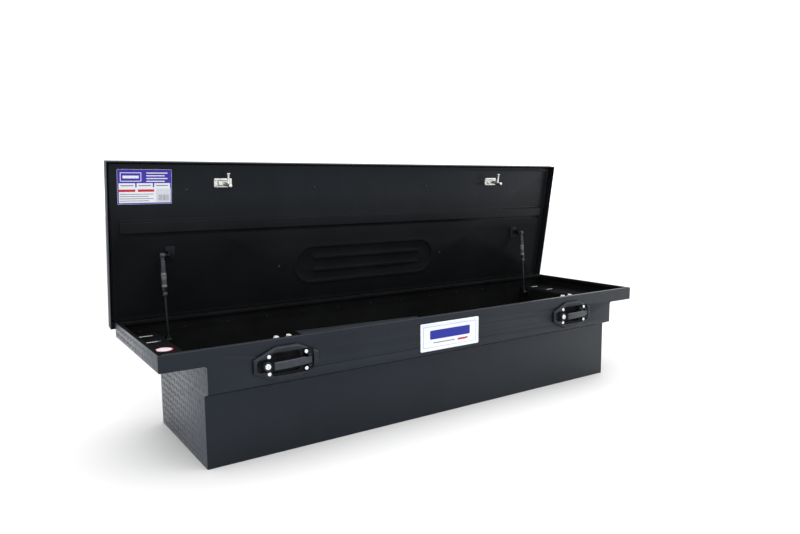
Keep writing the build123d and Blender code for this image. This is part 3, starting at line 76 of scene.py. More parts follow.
# ---------------------------------------------------------------- materials
class Nodes:
    """A material's node tree with short ways to add what the materials here need."""

    def __init__(self, name):
        self.material = bpy.data.materials.new(name)
        self.material.use_nodes = True
        self.tree = self.material.node_tree
        self.shader = next(n for n in self.tree.nodes if n.type == "BSDF_PRINCIPLED")
        self.coords = self.tree.nodes.new("ShaderNodeTexCoord").outputs["Object"]

    def add(self, kind, values=None):
        node = self.tree.nodes.new(kind)
        for key, value in (values or {}).items():
            node.inputs[key].default_value = value
        return node

    def link(self, output, target):
        self.tree.links.new(output, target)

    def noise(self, scale, detail=3.0, roughness=0.5, stretch=None):
        """Grain of the object's own space, about 1 / scale metres across."""
        node = self.add("ShaderNodeTexNoise", {"Scale": scale, "Detail": detail, "Roughness": roughness})
        source = self.coords
        if stretch:
            mapping = self.add("ShaderNodeMapping", {"Scale": stretch})
            self.link(source, mapping.inputs["Vector"])
            source = mapping.outputs["Vector"]
        self.link(source, node.inputs["Vector"])
        return node.outputs["Fac"]

    def cells(self, scale):
        node = self.add("ShaderNodeTexVoronoi", {"Scale": scale})
        self.link(self.coords, node.inputs["Vector"])
        return node

    def ramp(self, fac, stops):
        """Colours by a value: stops are (value, colour)."""
        node = self.add("ShaderNodeValToRGB")
        elements = node.color_ramp.elements
        while len(elements) < len(stops):
            elements.new(0.5)
        for element, (place, colour) in zip(elements, stops):
            element.position = place
            element.color = (*colour, 1.0)
        self.link(fac, node.inputs["Fac"])
        return node.outputs["Color"]

    def remap(self, fac, low, high, start=0.3, end=0.7):
        """From low to high as the value goes from start to end."""
        values = {"From Min": start, "From Max": end, "To Min": low, "To Max": high}
        node = self.add("ShaderNodeMapRange", values)
        self.link(fac, node.inputs["Value"])
        return node.outputs["Result"]

    def bumps(self, *layers):
        """Each layer is (height output, distance in metres, strength)."""
        normal = None
        for height, distance, strength in layers:
            node = self.add("ShaderNodeBump", {"Distance": distance, "Strength": strength})
            self.link(height, node.inputs["Height"])
            if normal:
                self.link(normal, node.inputs["Normal"])
            normal = node.outputs["Normal"]
        self.link(normal, self.shader.inputs["Normal"])

    def fixed(self, **values):
        """Numbers and colours that are the same all over."""
        for key, value in values.items():
            self.shader.inputs[key.replace("_", " ")].default_value = value

    def colour(self, output):
        self.link(output, self.shader.inputs["Base Color"])

    def rough(self, output):
        self.link(output, self.shader.inputs["Roughness"])

    def along(self, axis):
        """The object's own X, Y or Z in metres."""
        node = self.add("ShaderNodeSeparateXYZ")
        self.link(self.coords, node.inputs["Vector"])
        return node.outputs[axis]


# the black coats' gloss is slightly blue
COOL = (0.68, 0.81, 1.0, 1.0)
INSIDE_DARK = (0.0056, 0.0059, 0.0064)
INSIDE_LIGHT = (0.0072, 0.0076, 0.0083)
# the inside's gloss low down and high up, lowered low down as painted shade, and the heights in metres between
# which it grows
INSIDE_SHADE_GLOSS = (0.02, 0.14)
INSIDE_SHADE_HEIGHTS = (0.54, 0.69)
INSIDE_MEAN_GLOSS = 0.12


def sheet_coat(name, dark, light, rough):
    """Powder coat on sheet: dusty patches, faint orange peel and the soft waviness of the sheet."""
    n = Nodes(name)
    n.colour(n.ramp(n.noise(7.0, 5.0, 0.6), [(0.35, dark), (0.68, light)]))
    n.rough(n.remap(n.noise(34.0, 4.0, 0.6), *rough))
    n.bumps(
        (n.noise(2.2, 2.0, 0.4), 0.004, 0.10),
        (n.noise(620.0, 2.0, 0.5), 0.00018, 0.35),
    )
    return n


def powder_coat(name, dark, light, rough=(0.43, 0.48), shine=0.35):
    """Sheet coat with the same gloss all over."""
    n = sheet_coat(name, dark, light, rough)
    n.fixed(Specular_IOR_Level=shine, Specular_Tint=COOL)
    return n.material


def inside_coat(name):
    """Sheet coat of the inside: smoother and blacker, its gloss lowered towards the bottom as painted shade."""
    n = sheet_coat(name, INSIDE_DARK, INSIDE_LIGHT, (0.20, 0.28))
    n.fixed(Specular_IOR_Level=INSIDE_MEAN_GLOSS, Specular_Tint=COOL)
    # gloss falling towards the bottom: painted shade
    gloss = n.remap(n.along("Z"), *INSIDE_SHADE_GLOSS, *INSIDE_SHADE_HEIGHTS)
    n.link(gloss, n.shader.inputs["Specular IOR Level"])
    return n.material


def zinc(name):
    """Bright zinc plating with its faint spangle and handling marks."""
    n = Nodes(name)
    spangle = n.cells(260.0).outputs["Color"]
    tone = n.remap(spangle, 0.0, 1.0, 0.1, 0.9)
    n.colour(n.ramp(tone, [(0.0, (0.50, 0.51, 0.50)), (1.0, (0.72, 0.72, 0.68))]))
    n.rough(n.remap(n.noise(420.0, 5.0, 0.65), 0.24, 0.42))
    n.fixed(Metallic=1.0)
    n.bumps((n.noise(900.0, 3.0, 0.6), 0.00008, 0.3))
    return n.material


def chrome(name):
    """Polished chrome plating with faint wipe marks."""
    n = Nodes(name)
    wipe = n.noise(160.0, 6.0, 0.7, stretch=(1.0, 1.0, 6.0))
    tone = (0.78, 0.79, 0.80)
    n.colour(n.ramp(wipe, [(0.3, tuple(0.9 * c for c in tone)), (0.7, tone)]))
    n.rough(n.remap(wipe, 0.07, 0.20))
    n.fixed(Metallic=1.0)
    n.bumps((n.noise(1400.0, 2.0, 0.5), 0.00002, 0.25))
    return n.material


def cast_black(name, dark=(0.006, 0.006, 0.007), light=(0.014, 0.014, 0.015), shine=0.5):
    """Black coated metal with a fine grain."""
    n = Nodes(name)
    n.colour(n.ramp(n.noise(60.0, 6.0, 0.65), [(0.35, dark), (0.7, light)]))
    n.rough(n.remap(n.noise(95.0, 4.0, 0.6), 0.26, 0.42))
    n.fixed(Specular_IOR_Level=shine, Specular_Tint=COOL)
    n.bumps((n.noise(1500.0, 3.0, 0.6), 0.0001, 0.35))
    return n.material


def rubber(name):
    """Matt black rubber, greyer where it is rubbed."""
    n = Nodes(name)
    n.colour(n.ramp(n.noise(90.0, 5.0, 0.6), [(0.35, (0.008, 0.008, 0.008)), (0.7, (0.02, 0.02, 0.019))]))
    n.rough(n.remap(n.noise(55.0, 4.0, 0.6), 0.62, 0.85))
    n.bumps((n.noise(1100.0, 3.0, 0.6), 0.00015, 0.4))
    return n.material


def moulded_plastic(name):
    """Black plastic with a moulded grain."""
    n = Nodes(name)
    n.colour(n.ramp(n.noise(70.0, 4.0, 0.5), [(0.35, (0.01, 0.01, 0.011)), (0.7, (0.018, 0.018, 0.019))]))
    n.rough(n.remap(n.noise(120.0, 4.0, 0.6), 0.42, 0.58))
    n.bumps((n.cells(1700.0).outputs["Distance"], 0.00006, 0.4))
    return n.material


def foam(name):
    """Yellowed foam with open pores."""
    n = Nodes(name)
    pores = n.cells(450.0).outputs["Distance"]
    n.colour(n.ramp(pores, [(0.0, (0.42, 0.36, 0.2)), (0.6, (0.72, 0.66, 0.44))]))
    n.rough(n.remap(n.noise(200.0), 0.8, 0.95))
    n.bumps((pores, 0.0006, 0.6))
    return n.material


def printed(name, ink):
    """Printed film or enamel: the ink's colour with a faint mottle and a soft gloss."""
    n = Nodes(name)
    mottle = 0.06
    low, high = (tuple(c * share for c in ink) for share in (1 - mottle, 1 + mottle))
    n.colour(n.ramp(n.noise(240.0, 4.0, 0.6), [(0.35, low), (0.65, high)]))
    n.rough(n.remap(n.noise(48.0, 4.0, 0.6), 0.26, 0.40))
    n.fixed(Specular_IOR_Level=0.22)
    n.bumps((n.noise(700.0, 2.0, 0.5), 0.00003, 0.25))
    return n.material


def brushed_plate(name, low, high):
    """Anodised aluminium brushed along the box."""
    n = Nodes(name)
    lines = n.noise(220.0, 4.0, 0.6, stretch=(0.04, 1.0, 1.0))
    n.colour(n.ramp(lines, [(0.3, low), (0.7, high)]))
    n.rough(n.remap(lines, 0.28, 0.42))
    n.fixed(Metallic=0.55)
    n.bumps((lines, 0.00003, 0.3))
    return n.material


# powder coats: dark and light tone, then roughness and gloss where they aren't the usual ones
COAT = ((0.0029, 0.0033, 0.0040), (0.0048, 0.0055, 0.0066))
TREAD = ((0.010, 0.012, 0.016), (0.018, 0.022, 0.029), (0.28, 0.40), 0.65)
HINGE_METAL = ((0.004, 0.004, 0.005), (0.008, 0.008, 0.009), (0.34, 0.48))
# a coat nearly without gloss: painted shade on the inner faces and the wing floors
PAINTED_SHADE = ((0.0050, 0.0052, 0.0055), (0.0080, 0.0083, 0.0088), (0.43, 0.48), 0.004)
MATERIALS = {
    "powder_coat": powder_coat("powder_coat", *COAT),
    "tread_plate": powder_coat("tread_plate", *TREAD),
    "hinge_metal": powder_coat("hinge_metal", *HINGE_METAL),
    "zinc_steel": zinc("zinc_steel"),
    "chrome": chrome("chrome"),
    "handle_black": cast_black("handle_black", shine=0.30),
    "rod_steel": cast_black("rod_steel", (0.009, 0.009, 0.010), (0.016, 0.016, 0.017)),
    "strut_paint": cast_black("strut_paint", (0.006, 0.006, 0.007), (0.011, 0.011, 0.012)),
    "black_plastic": moulded_plastic("black_plastic"),
    "seal_rubber": rubber("seal_rubber"),
    "core_foam": foam("core_foam"),
    "nameplate_metal": brushed_plate("nameplate_metal", (0.62, 0.65, 0.70), (0.76, 0.79, 0.84)),
    "label_film": printed("label_film", (0.62, 0.64, 0.68)),
}
INKS = {
    "blue": printed("ink_blue", (0.016, 0.022, 0.24)),
    "violet": printed("ink_violet", (0.036, 0.022, 0.30)),
    "red": printed("ink_red", (0.42, 0.015, 0.030)),
    "white": printed("ink_white", (0.62, 0.63, 0.67)),
    "pale_print": printed("ink_pale_print", (0.50, 0.51, 0.56)),
    "grey": printed("ink_grey", (0.16, 0.17, 0.22)),
    "dark_grey": printed("ink_dark_grey", (0.030, 0.031, 0.034)),
    "dim_print": printed("ink_dim_print", (0.12, 0.12, 0.125)),
    "pale_blue": printed("ink_pale_blue", (0.30, 0.38, 0.58)),
    "sticker_red": printed("ink_sticker_red", (0.45, 0.012, 0.045)),
}
# coats of single pieces or faces that are smoother, duller or blacker than their material slot's usual one; the
# inside coat's falling gloss, the recess coat and the dull coat paint shade
INSIDE_COAT = inside_coat("inside_coat")
BRACKET_COAT = cast_black("bracket_coat", (0.004, 0.004, 0.005), (0.008, 0.008, 0.009), 0.14)
ROD_COAT = cast_black("rod_coat", (0.005, 0.005, 0.006), (0.010, 0.010, 0.011), 0.22)
# the handle recesses' glossless coat is painted shade
RECESS_SHADE_COAT = cast_black("recess_shade_coat", shine=0.06)
PAINTED_SHADE_COAT = powder_coat("painted_shade_coat", *PAINTED_SHADE)
GRIP_COAT = cast_black("grip_coat", (0.014, 0.014, 0.015), (0.024, 0.024, 0.026))
PIECE_COATS = dict.fromkeys(("lid_pan", "lid_channel", "lid_seal", "floor_panel"), INSIDE_COAT)
for side in SIDES:
    PIECE_COATS[f"{side}_handle_grip"] = GRIP_COAT
    PIECE_COATS[f"{side}_strut_rod"] = ROD_COAT
    for part in ("head", "foot", "lower_socket"):
        PIECE_COATS[f"{side}_strut_{part}"] = BRACKET_COAT

# a face looks along a direction when its normal has more than this share of it
LOOKS_ALONG = 0.45
# the handle housings' rims stand this far out of the front wall, or further
RIM_OUT = 4 * MM
NEAR = 1 * MM


def faces_along(*direction):
    return lambda face: face.normal.dot(Vector(direction)) > LOOKS_ALONG


# faces in the handle recess, which take the painted shade coat
def in_recess(face):
    return face.center.y > FRONT_Y - RIM_OUT


def at_wing_floor(face):
    return face.center.z > WING_Z - NEAR and abs(face.center.x) < BODY_HIGH.x - NEAR


# pieces whose hidden or inner faces carry a duller coat as painted shade, inside the box and in the handle
# recesses: that coat, and which faces have it
SECOND_COATS = {
    "front_panel": (PAINTED_SHADE_COAT, faces_along(0, 1, 0)),
    "rear_panel": (PAINTED_SHADE_COAT, faces_along(0, -1, 0)),
    "left_end_panel": (PAINTED_SHADE_COAT, faces_along(1, 0, 1)),
    "right_end_panel": (PAINTED_SHADE_COAT, faces_along(-1, 0, 1)),
    "left_handle_housing": (RECESS_SHADE_COAT, in_recess),
    "right_handle_housing": (RECESS_SHADE_COAT, in_recess),
}


# ---------------------------------------------------------------- mesh helpers
# points of a CAD mesh nearer than this are one point, and faces flatter to each other than this one face
MERGE = 0.002 * MM
FLAT = radians(0.4)
# edges bent by more than this are rounded
BENT = radians(32)
EDGE_SEGMENTS = 2
# degrees past which an edge stays sharp in the shading: on sheet, on turned pieces, on lugs and wire
SHARP, SHARP_TURNED, SHARP_FINE = 35, 50, 60
# points round a tube, round a wire, and steps in a block's corner
ROUND_COUNT = 48
WIRE_COUNT = 10
CORNER_STEPS = 4


def second_coat(piece, coat, chosen):
    """Gives some faces of a piece another coat."""
    piece.data.materials.append(coat)
    for face in piece.data.polygons:
        if chosen(face):
            face.material_index = 1


def place(mesh_or_bm, name, material, body, slot, sharp=SHARP):
    """Turns mesh data into a piece that rides on a CAD body."""
    if isinstance(mesh_or_bm, bmesh.types.BMesh):
        mesh = bpy.data.meshes.new(name)
        bmesh.ops.recalc_face_normals(mesh_or_bm, faces=mesh_or_bm.faces)
        mesh_or_bm.to_mesh(mesh)
        mesh_or_bm.free()
        mesh.shade_smooth()
        mesh.set_sharp_from_angle(angle=radians(sharp))
    else:
        mesh = mesh_or_bm
    mesh.materials.clear()
    mesh.materials.append(material)
    piece = bpy.data.objects.new(name, mesh)
    bpy.context.scene.collection.objects.link(piece)
    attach(piece, body)
    return piece


def softened(node, width, material=None):
    """The CAD piece with its sharp edges rounded as bent, cast or deburred metal is."""
    bm = bmesh.new()
    bm.from_mesh(NODES[node].data)
    bmesh.ops.remove_doubles(bm, verts=bm.verts, dist=MERGE)
    bmesh.ops.dissolve_limit(bm, angle_limit=FLAT, verts=bm.verts, edges=bm.edges)
    rough = bpy.data.meshes.new(node + "_rough")
    bm.to_mesh(rough)
    bm.free()
    worker = bpy.data.objects.new(node + "_worker", rough)
    bpy.context.scene.collection.objects.link(worker)
    bevel = worker.modifiers.new("edges", "BEVEL")
    bevel.width = width
    bevel.segments = EDGE_SEGMENTS
    bevel.limit_method = "ANGLE"
    bevel.angle_limit = BENT
    bevel.use_clamp_overlap = False
    bevel.harden_normals = False
    bevel.miter_outer = "MITER_ARC"
    graph = bpy.context.evaluated_depsgraph_get()
    mesh = bpy.data.meshes.new_from_object(worker.evaluated_get(graph))
    bpy.data.objects.remove(worker)
    # a bevel can overshoot where two folds meet, so nothing leaves the CAD piece's own box
    points = [vert.co for vert in NODES[node].data.vertices]
    low = [min(point[k] for point in points) for k in range(3)]
    high = [max(point[k] for point in points) for k in range(3)]
    for vert in mesh.vertices:
        vert.co = [min(max(vert.co[k], low[k]), high[k]) for k in range(3)]
    mesh.name = node + "_soft"
    mesh.shade_smooth()
    mesh.set_sharp_from_angle(angle=radians(SHARP))
    slot = SLOT_OF[node]
    piece = place(mesh, node + "_soft", material or MATERIALS[slot], BODY_OF[node], slot)
    if node in SECOND_COATS:
        second_coat(piece, *SECOND_COATS[node])
    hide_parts(node)


def ring_loft(bm, rings, close_start=True, close_end=True):
    """Faces between rings of points that all have the same count; returns the rings' vertices."""
    made = [[bm.verts.new(point) for point in ring] for ring in rings]
    for lower, upper in zip(made, made[1:]):
        count = len(lower)
        for i in range(count):
            j = (i + 1) % count
            bm.faces.new((lower[i], lower[j], upper[j], upper[i]))
    if close_start:
        bm.faces.new(list(reversed(made[0])))
    if close_end:
        bm.faces.new(made[-1])
    return made


def lathe(bm, profile, origin, axis, count, closed=(True, True)):
    """A turned shape: profile is (distance along the axis, radius)."""
    turn = Vector((0, 0, 1)).rotation_difference(Vector(axis)).to_matrix().to_4x4()
    matrix = Matrix.Translation(origin) @ turn
    angles = [2 * pi * i / count for i in range(count)]
    rings = []
    for along, radius in profile:
        rings.append([matrix @ Vector((radius * cos(a), radius * sin(a), along)) for a in angles])
    return ring_loft(bm, rings, *closed)


def sleeve(bm, low, high, inner, outer, origin, axis):
    """A thin ring round an axis, hollow all the way through."""
    profile = [(low, inner), (low, outer), (high, outer), (high, inner)]
    made = lathe(bm, profile, origin, axis, ROUND_COUNT, (False, False))
    for i in range(ROUND_COUNT):
        j = (i + 1) % ROUND_COUNT
        bm.faces.new((made[-1][i], made[-1][j], made[0][j], made[0][i]))


def tube(bm, points, radius):
    """A round wire through the points, its frame carried along without twist."""
    angles = [2 * pi * k / WIRE_COUNT for k in range(WIRE_COUNT)]
    rings = []
    normal = None
    for i, point in enumerate(points):
        ahead = points[min(i + 1, len(points) - 1)] - points[max(i - 1, 0)]
        ahead.normalize()
        if normal is None:
            guide = Vector((0, 0, 1)) if abs(ahead.z) < 0.9 else Vector((1, 0, 0))
            normal = ahead.cross(guide).normalized()
        normal = (normal - ahead * normal.dot(ahead)).normalized()
        across = ahead.cross(normal)
        rings.append([point + (normal * cos(a) + across * sin(a)) * radius for a in angles])
    ring_loft(bm, rings)


def rounded_block(bm, matrix, size, thickness, radius):
    """A flat plate with round corners standing on the matrix's XY plane."""
    reach_x, reach_y = size[0] / 2 - radius, size[1] / 2 - radius
    outline = []
    for cx, cy, start in ((1, 1, 0), (-1, 1, 90), (-1, -1, 180), (1, -1, 270)):
        for step in range(CORNER_STEPS + 1):
            a = radians(start + 90 * step / CORNER_STEPS)
            outline.append((cx * reach_x + radius * cos(a), cy * reach_y + radius * sin(a)))
    ring_loft(bm, [[matrix @ Vector((x, y, z)) for x, y in outline] for z in (0.0, thickness)])


def facing_front(x, z, out):
    """Out of the front wall by a distance: local x along the box, local y up, local z to the front."""
    turn = Matrix(((1, 0, 0), (0, 0, -1), (0, 1, 0))).to_4x4()
    return Matrix.Translation((x, FRONT_Y - out, z)) @ turn


def on_pan(x, depth, rise=0.0):
    """On the lid's inner pan, at a depth in front of the hinge axis: local z into the box, y to the front."""
    turn = Matrix(((1, 0, 0), (0, -1, 0), (0, 0, -1))).to_4x4()
    return LID @ Matrix.Translation((x, -depth, PAN_Z - rise)) @ turn


def both_sides(name):
    """The left and the right name for a name with a star, else the name alone."""
    return [name.replace("*", side) for side in SIDES] if "*" in name else [name]


# ---------------------------------------------------------------- carried-over nodes
for node, piece in NODES.items():
    piece.data.materials.clear()
    piece.data.materials.append(PIECE_COATS.get(node, MATERIALS[SLOT_OF[node]]))

# millimetres that sharp edges are rounded by; a name with a star is a left and a right piece
EDGE_WIDTHS = {
    "front_panel": 0.5,
    "rear_panel": 0.5,
    "*_end_panel": 0.5,
    "floor_panel": 0.6,
    "front_rim_stiffener": 0.4,
    "lid_skin": 0.5,
    "lid_pan": 0.8,
    "lid_channel": 0.4,
    "*_striker": 0.5,
    "*_latch_housing": 0.3,
    "*_latch_outer_jaw": 0.4,
    "*_latch_inner_jaw": 0.4,
    "*_handle_housing": 0.9,
    "*_handle_grip": 0.8,
    "handle_backplates": 0.4,
    "*_strut_head": 0.5,
    "*_strut_foot": 0.5,
    "*_strut_upper_socket": 0.8,
    "*_strut_lower_socket": 0.8,
}
for name, width in EDGE_WIDTHS.items():
    for node in both_sides(name):
        softened(node, width * MM, PIECE_COATS.get(node))


# ---------------------------------------------------------------- tread plate lugs
LUG_PITCH = 19 * MM
LUG_HALF = (8.6 * MM, 2.5 * MM)
LUG_HEIGHT = 0.9 * MM
LUG_POINTS = 12
# 0 would make a lug an ellipse; more than that draws its ends to a point
LUG_TAPER = 0.35
# a lug's outline at three heights: share of its full size, height
LUG_LAYERS = ((1.0, -0.05 * MM), (0.80, 0.6 * LUG_HEIGHT), (0.45, LUG_HEIGHT))


def lug(bm, matrix):
    """One raised lens of the tread pattern, pointed at both ends."""
    outline = []
    for i in range(LUG_POINTS):
        a = 2 * pi * i / LUG_POINTS
        width = sin(a) * abs(sin(a)) ** LUG_TAPER
        outline.append((LUG_HALF[0] * cos(a), LUG_HALF[1] * width))
    rings = []
    for scale, height in LUG_LAYERS:
        rings.append([matrix @ Vector((x * scale, y * scale, height)) for x, y in outline])
    ring_loft(bm, rings, close_start=False)


def tread(bm, corner, along, up, length, height, keep=None):
    """Lugs in rows that lean alternately left and right, on a flat stretch of sheet."""
    normal = along.cross(up)
    columns = int(length / LUG_PITCH)
    rows = int(height / LUG_PITCH)
    margin = Vector(((length - (columns - 1) * LUG_PITCH) / 2, (height - (rows - 1) * LUG_PITCH) / 2, 0))
    for i in range(columns):
        for j in range(rows):
            # a along the stretch, b up it
            a, b = margin.x + i * LUG_PITCH, margin.y + j * LUG_PITCH
            if keep and not keep(a, b):
                continue
            lean = radians(45 if (i + j) % 2 else -45)
            axis = along * cos(lean) + up * sin(lean)
            across = normal.cross(axis)
            turn = Matrix((axis, across, normal)).transposed().to_4x4()
            lug(bm, Matrix.Translation(corner + along * a + up * b) @ turn)


# rail slots in the wing floors: their centres, and how far from them a lug's centre keeps
WING_SLOTS = [(x, y) for x in (-803 * MM, 803 * MM) for y in (-193 * MM, -107 * MM, 107 * MM, 193 * MM)]
SLOT_ROOM = (32 * MM, 14 * MM)
# below this height the front and rear walls stand in, by these insets, and the tub end is that much narrower
STEP_Z = BODY_HIGH.z - 124 * MM
LOW_INSET_FRONT = 31 * MM + SHEET
LOW_INSET_REAR = 20 * MM + SHEET
# what a lug's centre keeps from a wall, from a fold below the step, and from the wing floor overhead
LUG_ROOM = 8 * MM
LUG_ROOM_LOW = LUG_ROOM * 0.6
LUG_ROOM_TOP = 12 * MM
# the bare strip before the first row on the wing floor and on the wing end; past the last it is a sheet wide
WING_FLOOR_BARE = 8 * MM
WING_END_BARE = 3 * MM


def tread_end(side, sign):
    """Lugs on one end panel: on the tub end, on the wing end and at the wing floor, within its sheet."""
    bm = bmesh.new()
    up = Vector((0, 0, 1))
    outward = Vector((sign, 0, 0))
    # rows run to the rear on the right end and to the front on the left end, which keeps the normal outward
    run = Vector((0, sign, 0))
    start_y = FRONT_Y if sign > 0 else BODY_HIGH.y
    depth = BODY_HIGH.y - FRONT_Y

    def on_tub_end(a, b):
        y = start_y + sign * a
        if b > WING_Z - LUG_ROOM_TOP:
            return False
        if b > STEP_Z - LUG_ROOM:
            return FRONT_Y + SHEET + LUG_ROOM < y < BODY_HIGH.y - SHEET - LUG_ROOM
        return FRONT_Y + LOW_INSET_FRONT + LUG_ROOM_LOW < y < BODY_HIGH.y - LOW_INSET_REAR - LUG_ROOM_LOW

    def on_wing_floor(a, b):
        x = sign * (TUB_X + WING_FLOOR_BARE + a)
        y = start_y + sign * b
        return all(abs(x - sx) > SLOT_ROOM[0] or abs(y - sy) > SLOT_ROOM[1] for sx, sy in WING_SLOTS)

    tread(bm, Vector((sign * TUB_X, start_y, 0)), run, up, depth, WING_Z, on_tub_end)
    wing_end = Vector((BODY_HIGH.x * sign, start_y, WING_Z + WING_END_BARE))
    tread(bm, wing_end, run, up, depth, BODY_HIGH.z - WING_Z - WING_END_BARE - SHEET)
    wing_floor = Vector((sign * (TUB_X + WING_FLOOR_BARE), start_y, WING_Z))
    tread(bm, wing_floor, outward, run, BODY_HIGH.x - TUB_X - WING_FLOOR_BARE - SHEET, depth, on_wing_floor)
    piece = place(bm, f"{side}_tread_lugs", MATERIALS["tread_plate"], "box", "tread_plate", SHARP_FINE)
    # the wing floor's lugs take the glossless coat as painted shade
    second_coat(piece, PAINTED_SHADE_COAT, at_wing_floor)


for side, sign in SIDES.items():
    tread_end(side, sign)


# ---------------------------------------------------------------- screws, rivets and springs
# heads are sunk this much into what they sit on, and this share of their height is a straight rim
HEAD_SINK = 0.2 * MM
DOME_RIM = 0.22
BUTTON_RIM = 0.25
# steps from the rim to the crown, points round a dome, sides of a screw's recess, steps in a turn of wire
DOME_STEPS = 6
BUTTON_STEPS = 5
DOME_COUNT = 28
DRIVE_SIDES = 6
STEPS_PER_TURN = 20


def dome(bm, origin, axis, radius, height):
    """A round rivet or screw head."""
    profile = [(-HEAD_SINK, radius), (height * DOME_RIM, radius * 0.985)]
    for i in range(1, DOME_STEPS):
        a = radians(90 * i / DOME_STEPS)
        profile.append((height * (DOME_RIM + (1 - DOME_RIM) * sin(a)), radius * (0.985 * cos(a) + 0.015)))
    profile.append((height, radius * 0.06))
    lathe(bm, profile, origin, axis, DOME_COUNT)


def socket_head(bm, origin, axis, radius, height, recess, count=36):
    """A button head with a six-sided recess."""
    turn = Vector((0, 0, 1)).rotation_difference(Vector(axis)).to_matrix().to_4x4()
    matrix = Matrix.Translation(origin) @ turn
    angles = [2 * pi * i / count for i in range(count)]

    def round_ring(r, along):
        return [matrix @ Vector((r * cos(a), r * sin(a), along)) for a in angles]

    def drive_ring(r, along):
        sector = 2 * pi / DRIVE_SIDES
        points = []
        for a in angles:
            reach = r * cos(sector / 2) / cos(a % sector - sector / 2)
            points.append(matrix @ Vector((reach * cos(a), reach * sin(a), along)))
        return points

    crown = recess * 1.25
    rings = [round_ring(radius, -HEAD_SINK), round_ring(radius, height * BUTTON_RIM)]
    for i in range(1, BUTTON_STEPS):
        a = radians(90 * i / BUTTON_STEPS)
        rise = BUTTON_RIM + (1 - BUTTON_RIM) * sin(a)
        rings.append(round_ring(crown + (radius - crown) * cos(a), height * rise))
    rings.append(round_ring(recess * 1.12, height))
    # the recess: its eased mouth, its floor, and the drill's cone under that
    rings.append(drive_ring(recess, height - 0.15 * MM))
    rings.append(drive_ring(recess * 0.98, height - 1.8 * MM))
    rings.append(drive_ring(recess * 0.3, height - 2.1 * MM))
    ring_loft(bm, rings)


def islands(node):
    """Centre, lowest and highest corner of each separate solid in a CAD node."""
    bm = bmesh.new()
    bm.from_mesh(NODES[node].data)
    bmesh.ops.remove_doubles(bm, verts=bm.verts, dist=MERGE)
    found, seen = [], set()
    bm.verts.ensure_lookup_table()
    for vert in bm.verts:
        if vert.index in seen:
            continue
        stack, members = [vert], []
        seen.add(vert.index)
        while stack:
            current = stack.pop()
            members.append(current.co.copy())
            for edge in current.link_edges:
                other = edge.other_vert(current)
                if other.index not in seen:
                    seen.add(other.index)
                    stack.append(other)
        low = Vector(min(p[k] for p in members) for k in range(3))
        high = Vector(max(p[k] for p in members) for k in range(3))
        found.append(((low + high) / 2, low, high))
    bm.free()
    return found


# screws: radius and height of the head, and half the width of its recess
HANDLE_SCREW = (5.6 * MM, 3.0 * MM, 2.6 * MM)
HANDLE_SHANK = 2.95 * MM
STRIKER_SCREW = (3.6 * MM, 2.2 * MM, 1.5 * MM)
STRIKER_SCREW_SINK = 1.1 * MM
# radius and height of the rivets' set heads, of their upset tails, and of the pan's studs
RIVET_HEAD = (4.4 * MM, 1.9 * MM)
RIVET_TAIL = (3.4 * MM, 1.4 * MM)
STUD_HEAD = (4.5 * MM, 1.8 * MM)
# CAD rivet ends wider than this are the set heads
RIVET_HEAD_LEAST = 8 * MM
# springs: radius of the coil and of the wire, turns, length wound, and the two legs
HANDLE_SPRING = (3.6 * MM, 0.55 * MM, 3.0, 2.6 * MM, (4 * MM, 4 * MM))
LATCH_SPRING = (4.5 * MM, 0.7 * MM, 3.25, 3.2 * MM, (6 * MM, 5 * MM))
# the outer radius of the CAD latch springs' rings
LATCH_SPRING_HUB = 5.6 * MM
# studs that hold the pan's stiffening to the skin: place along the box, depth in front of the hinge
PAN_STUDS = ((-659, 406), (-350, 144), (328, 150), (-232, 410), (650, 406), (232, 410))


def handle_screws():
    bm = bmesh.new()
    for centre, low, high in islands("handle_screws"):
        head = Vector((centre.x, low.y + HANDLE_SCREW[1], centre.z))
        socket_head(bm, head, (0, -1, 0), *HANDLE_SCREW)
        lathe(bm, [(0, HANDLE_SHANK), (high.y - head.y, HANDLE_SHANK)], head, (0, 1, 0), count=20)
    piece = place(bm, "handle_screws_domed", MATERIALS["chrome"], "box", "chrome", SHARP_TURNED)
    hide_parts("handle_screws")


def hinge_rivets(node, body, outward, material_slot):
    """Round-headed rivets: the side that shows, and the upset tail inside."""
    bm = bmesh.new()
    for centre, low, high in islands(node):
        spread = high - low
        half = outward * abs(spread.dot(outward)) / 2
        if max(spread) > RIVET_HEAD_LEAST:
            dome(bm, centre - half, outward, *RIVET_HEAD)
        else:
            dome(bm, centre + half, -outward, *RIVET_TAIL)
    piece = place(bm, node + "_domed", BRACKET_COAT, body, material_slot, SHARP_TURNED)
    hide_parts(node)


def coil_spring(bm, centre, axis, radius, wire, turns, length, legs):
    """A torsion spring wound round an axis; legs are straight tangents at its two ends."""
    axis = Vector(axis).normalized()
    guide = Vector((0, 0, 1)) if abs(axis.z) < 0.9 else Vector((1, 0, 0))
    u = axis.cross(guide).normalized()
    v = axis.cross(u)
    points = []
    steps = int(turns * STEPS_PER_TURN)
    for i in range(steps + 1):
        t = i / steps
        a = 2 * pi * turns * t
        points.append(centre + axis * length * (t - 0.5) + (u * cos(a) + v * sin(a)) * radius)
    start = (points[0] - points[1]).normalized() * legs[0]
    end = (points[-1] - points[-2]).normalized() * legs[1]
    tube(bm, [points[0] + start] + points + [points[-1] + end], wire)


def handle_springs():
    bm = bmesh.new()
    for centre, _, _ in islands("handle_springs"):
        coil_spring(bm, centre, (0, 0, 1), *HANDLE_SPRING)
    piece = place(bm, "handle_springs_wound", MATERIALS["rod_steel"], "box", "rod_steel", SHARP_FINE)
    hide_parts("handle_springs")


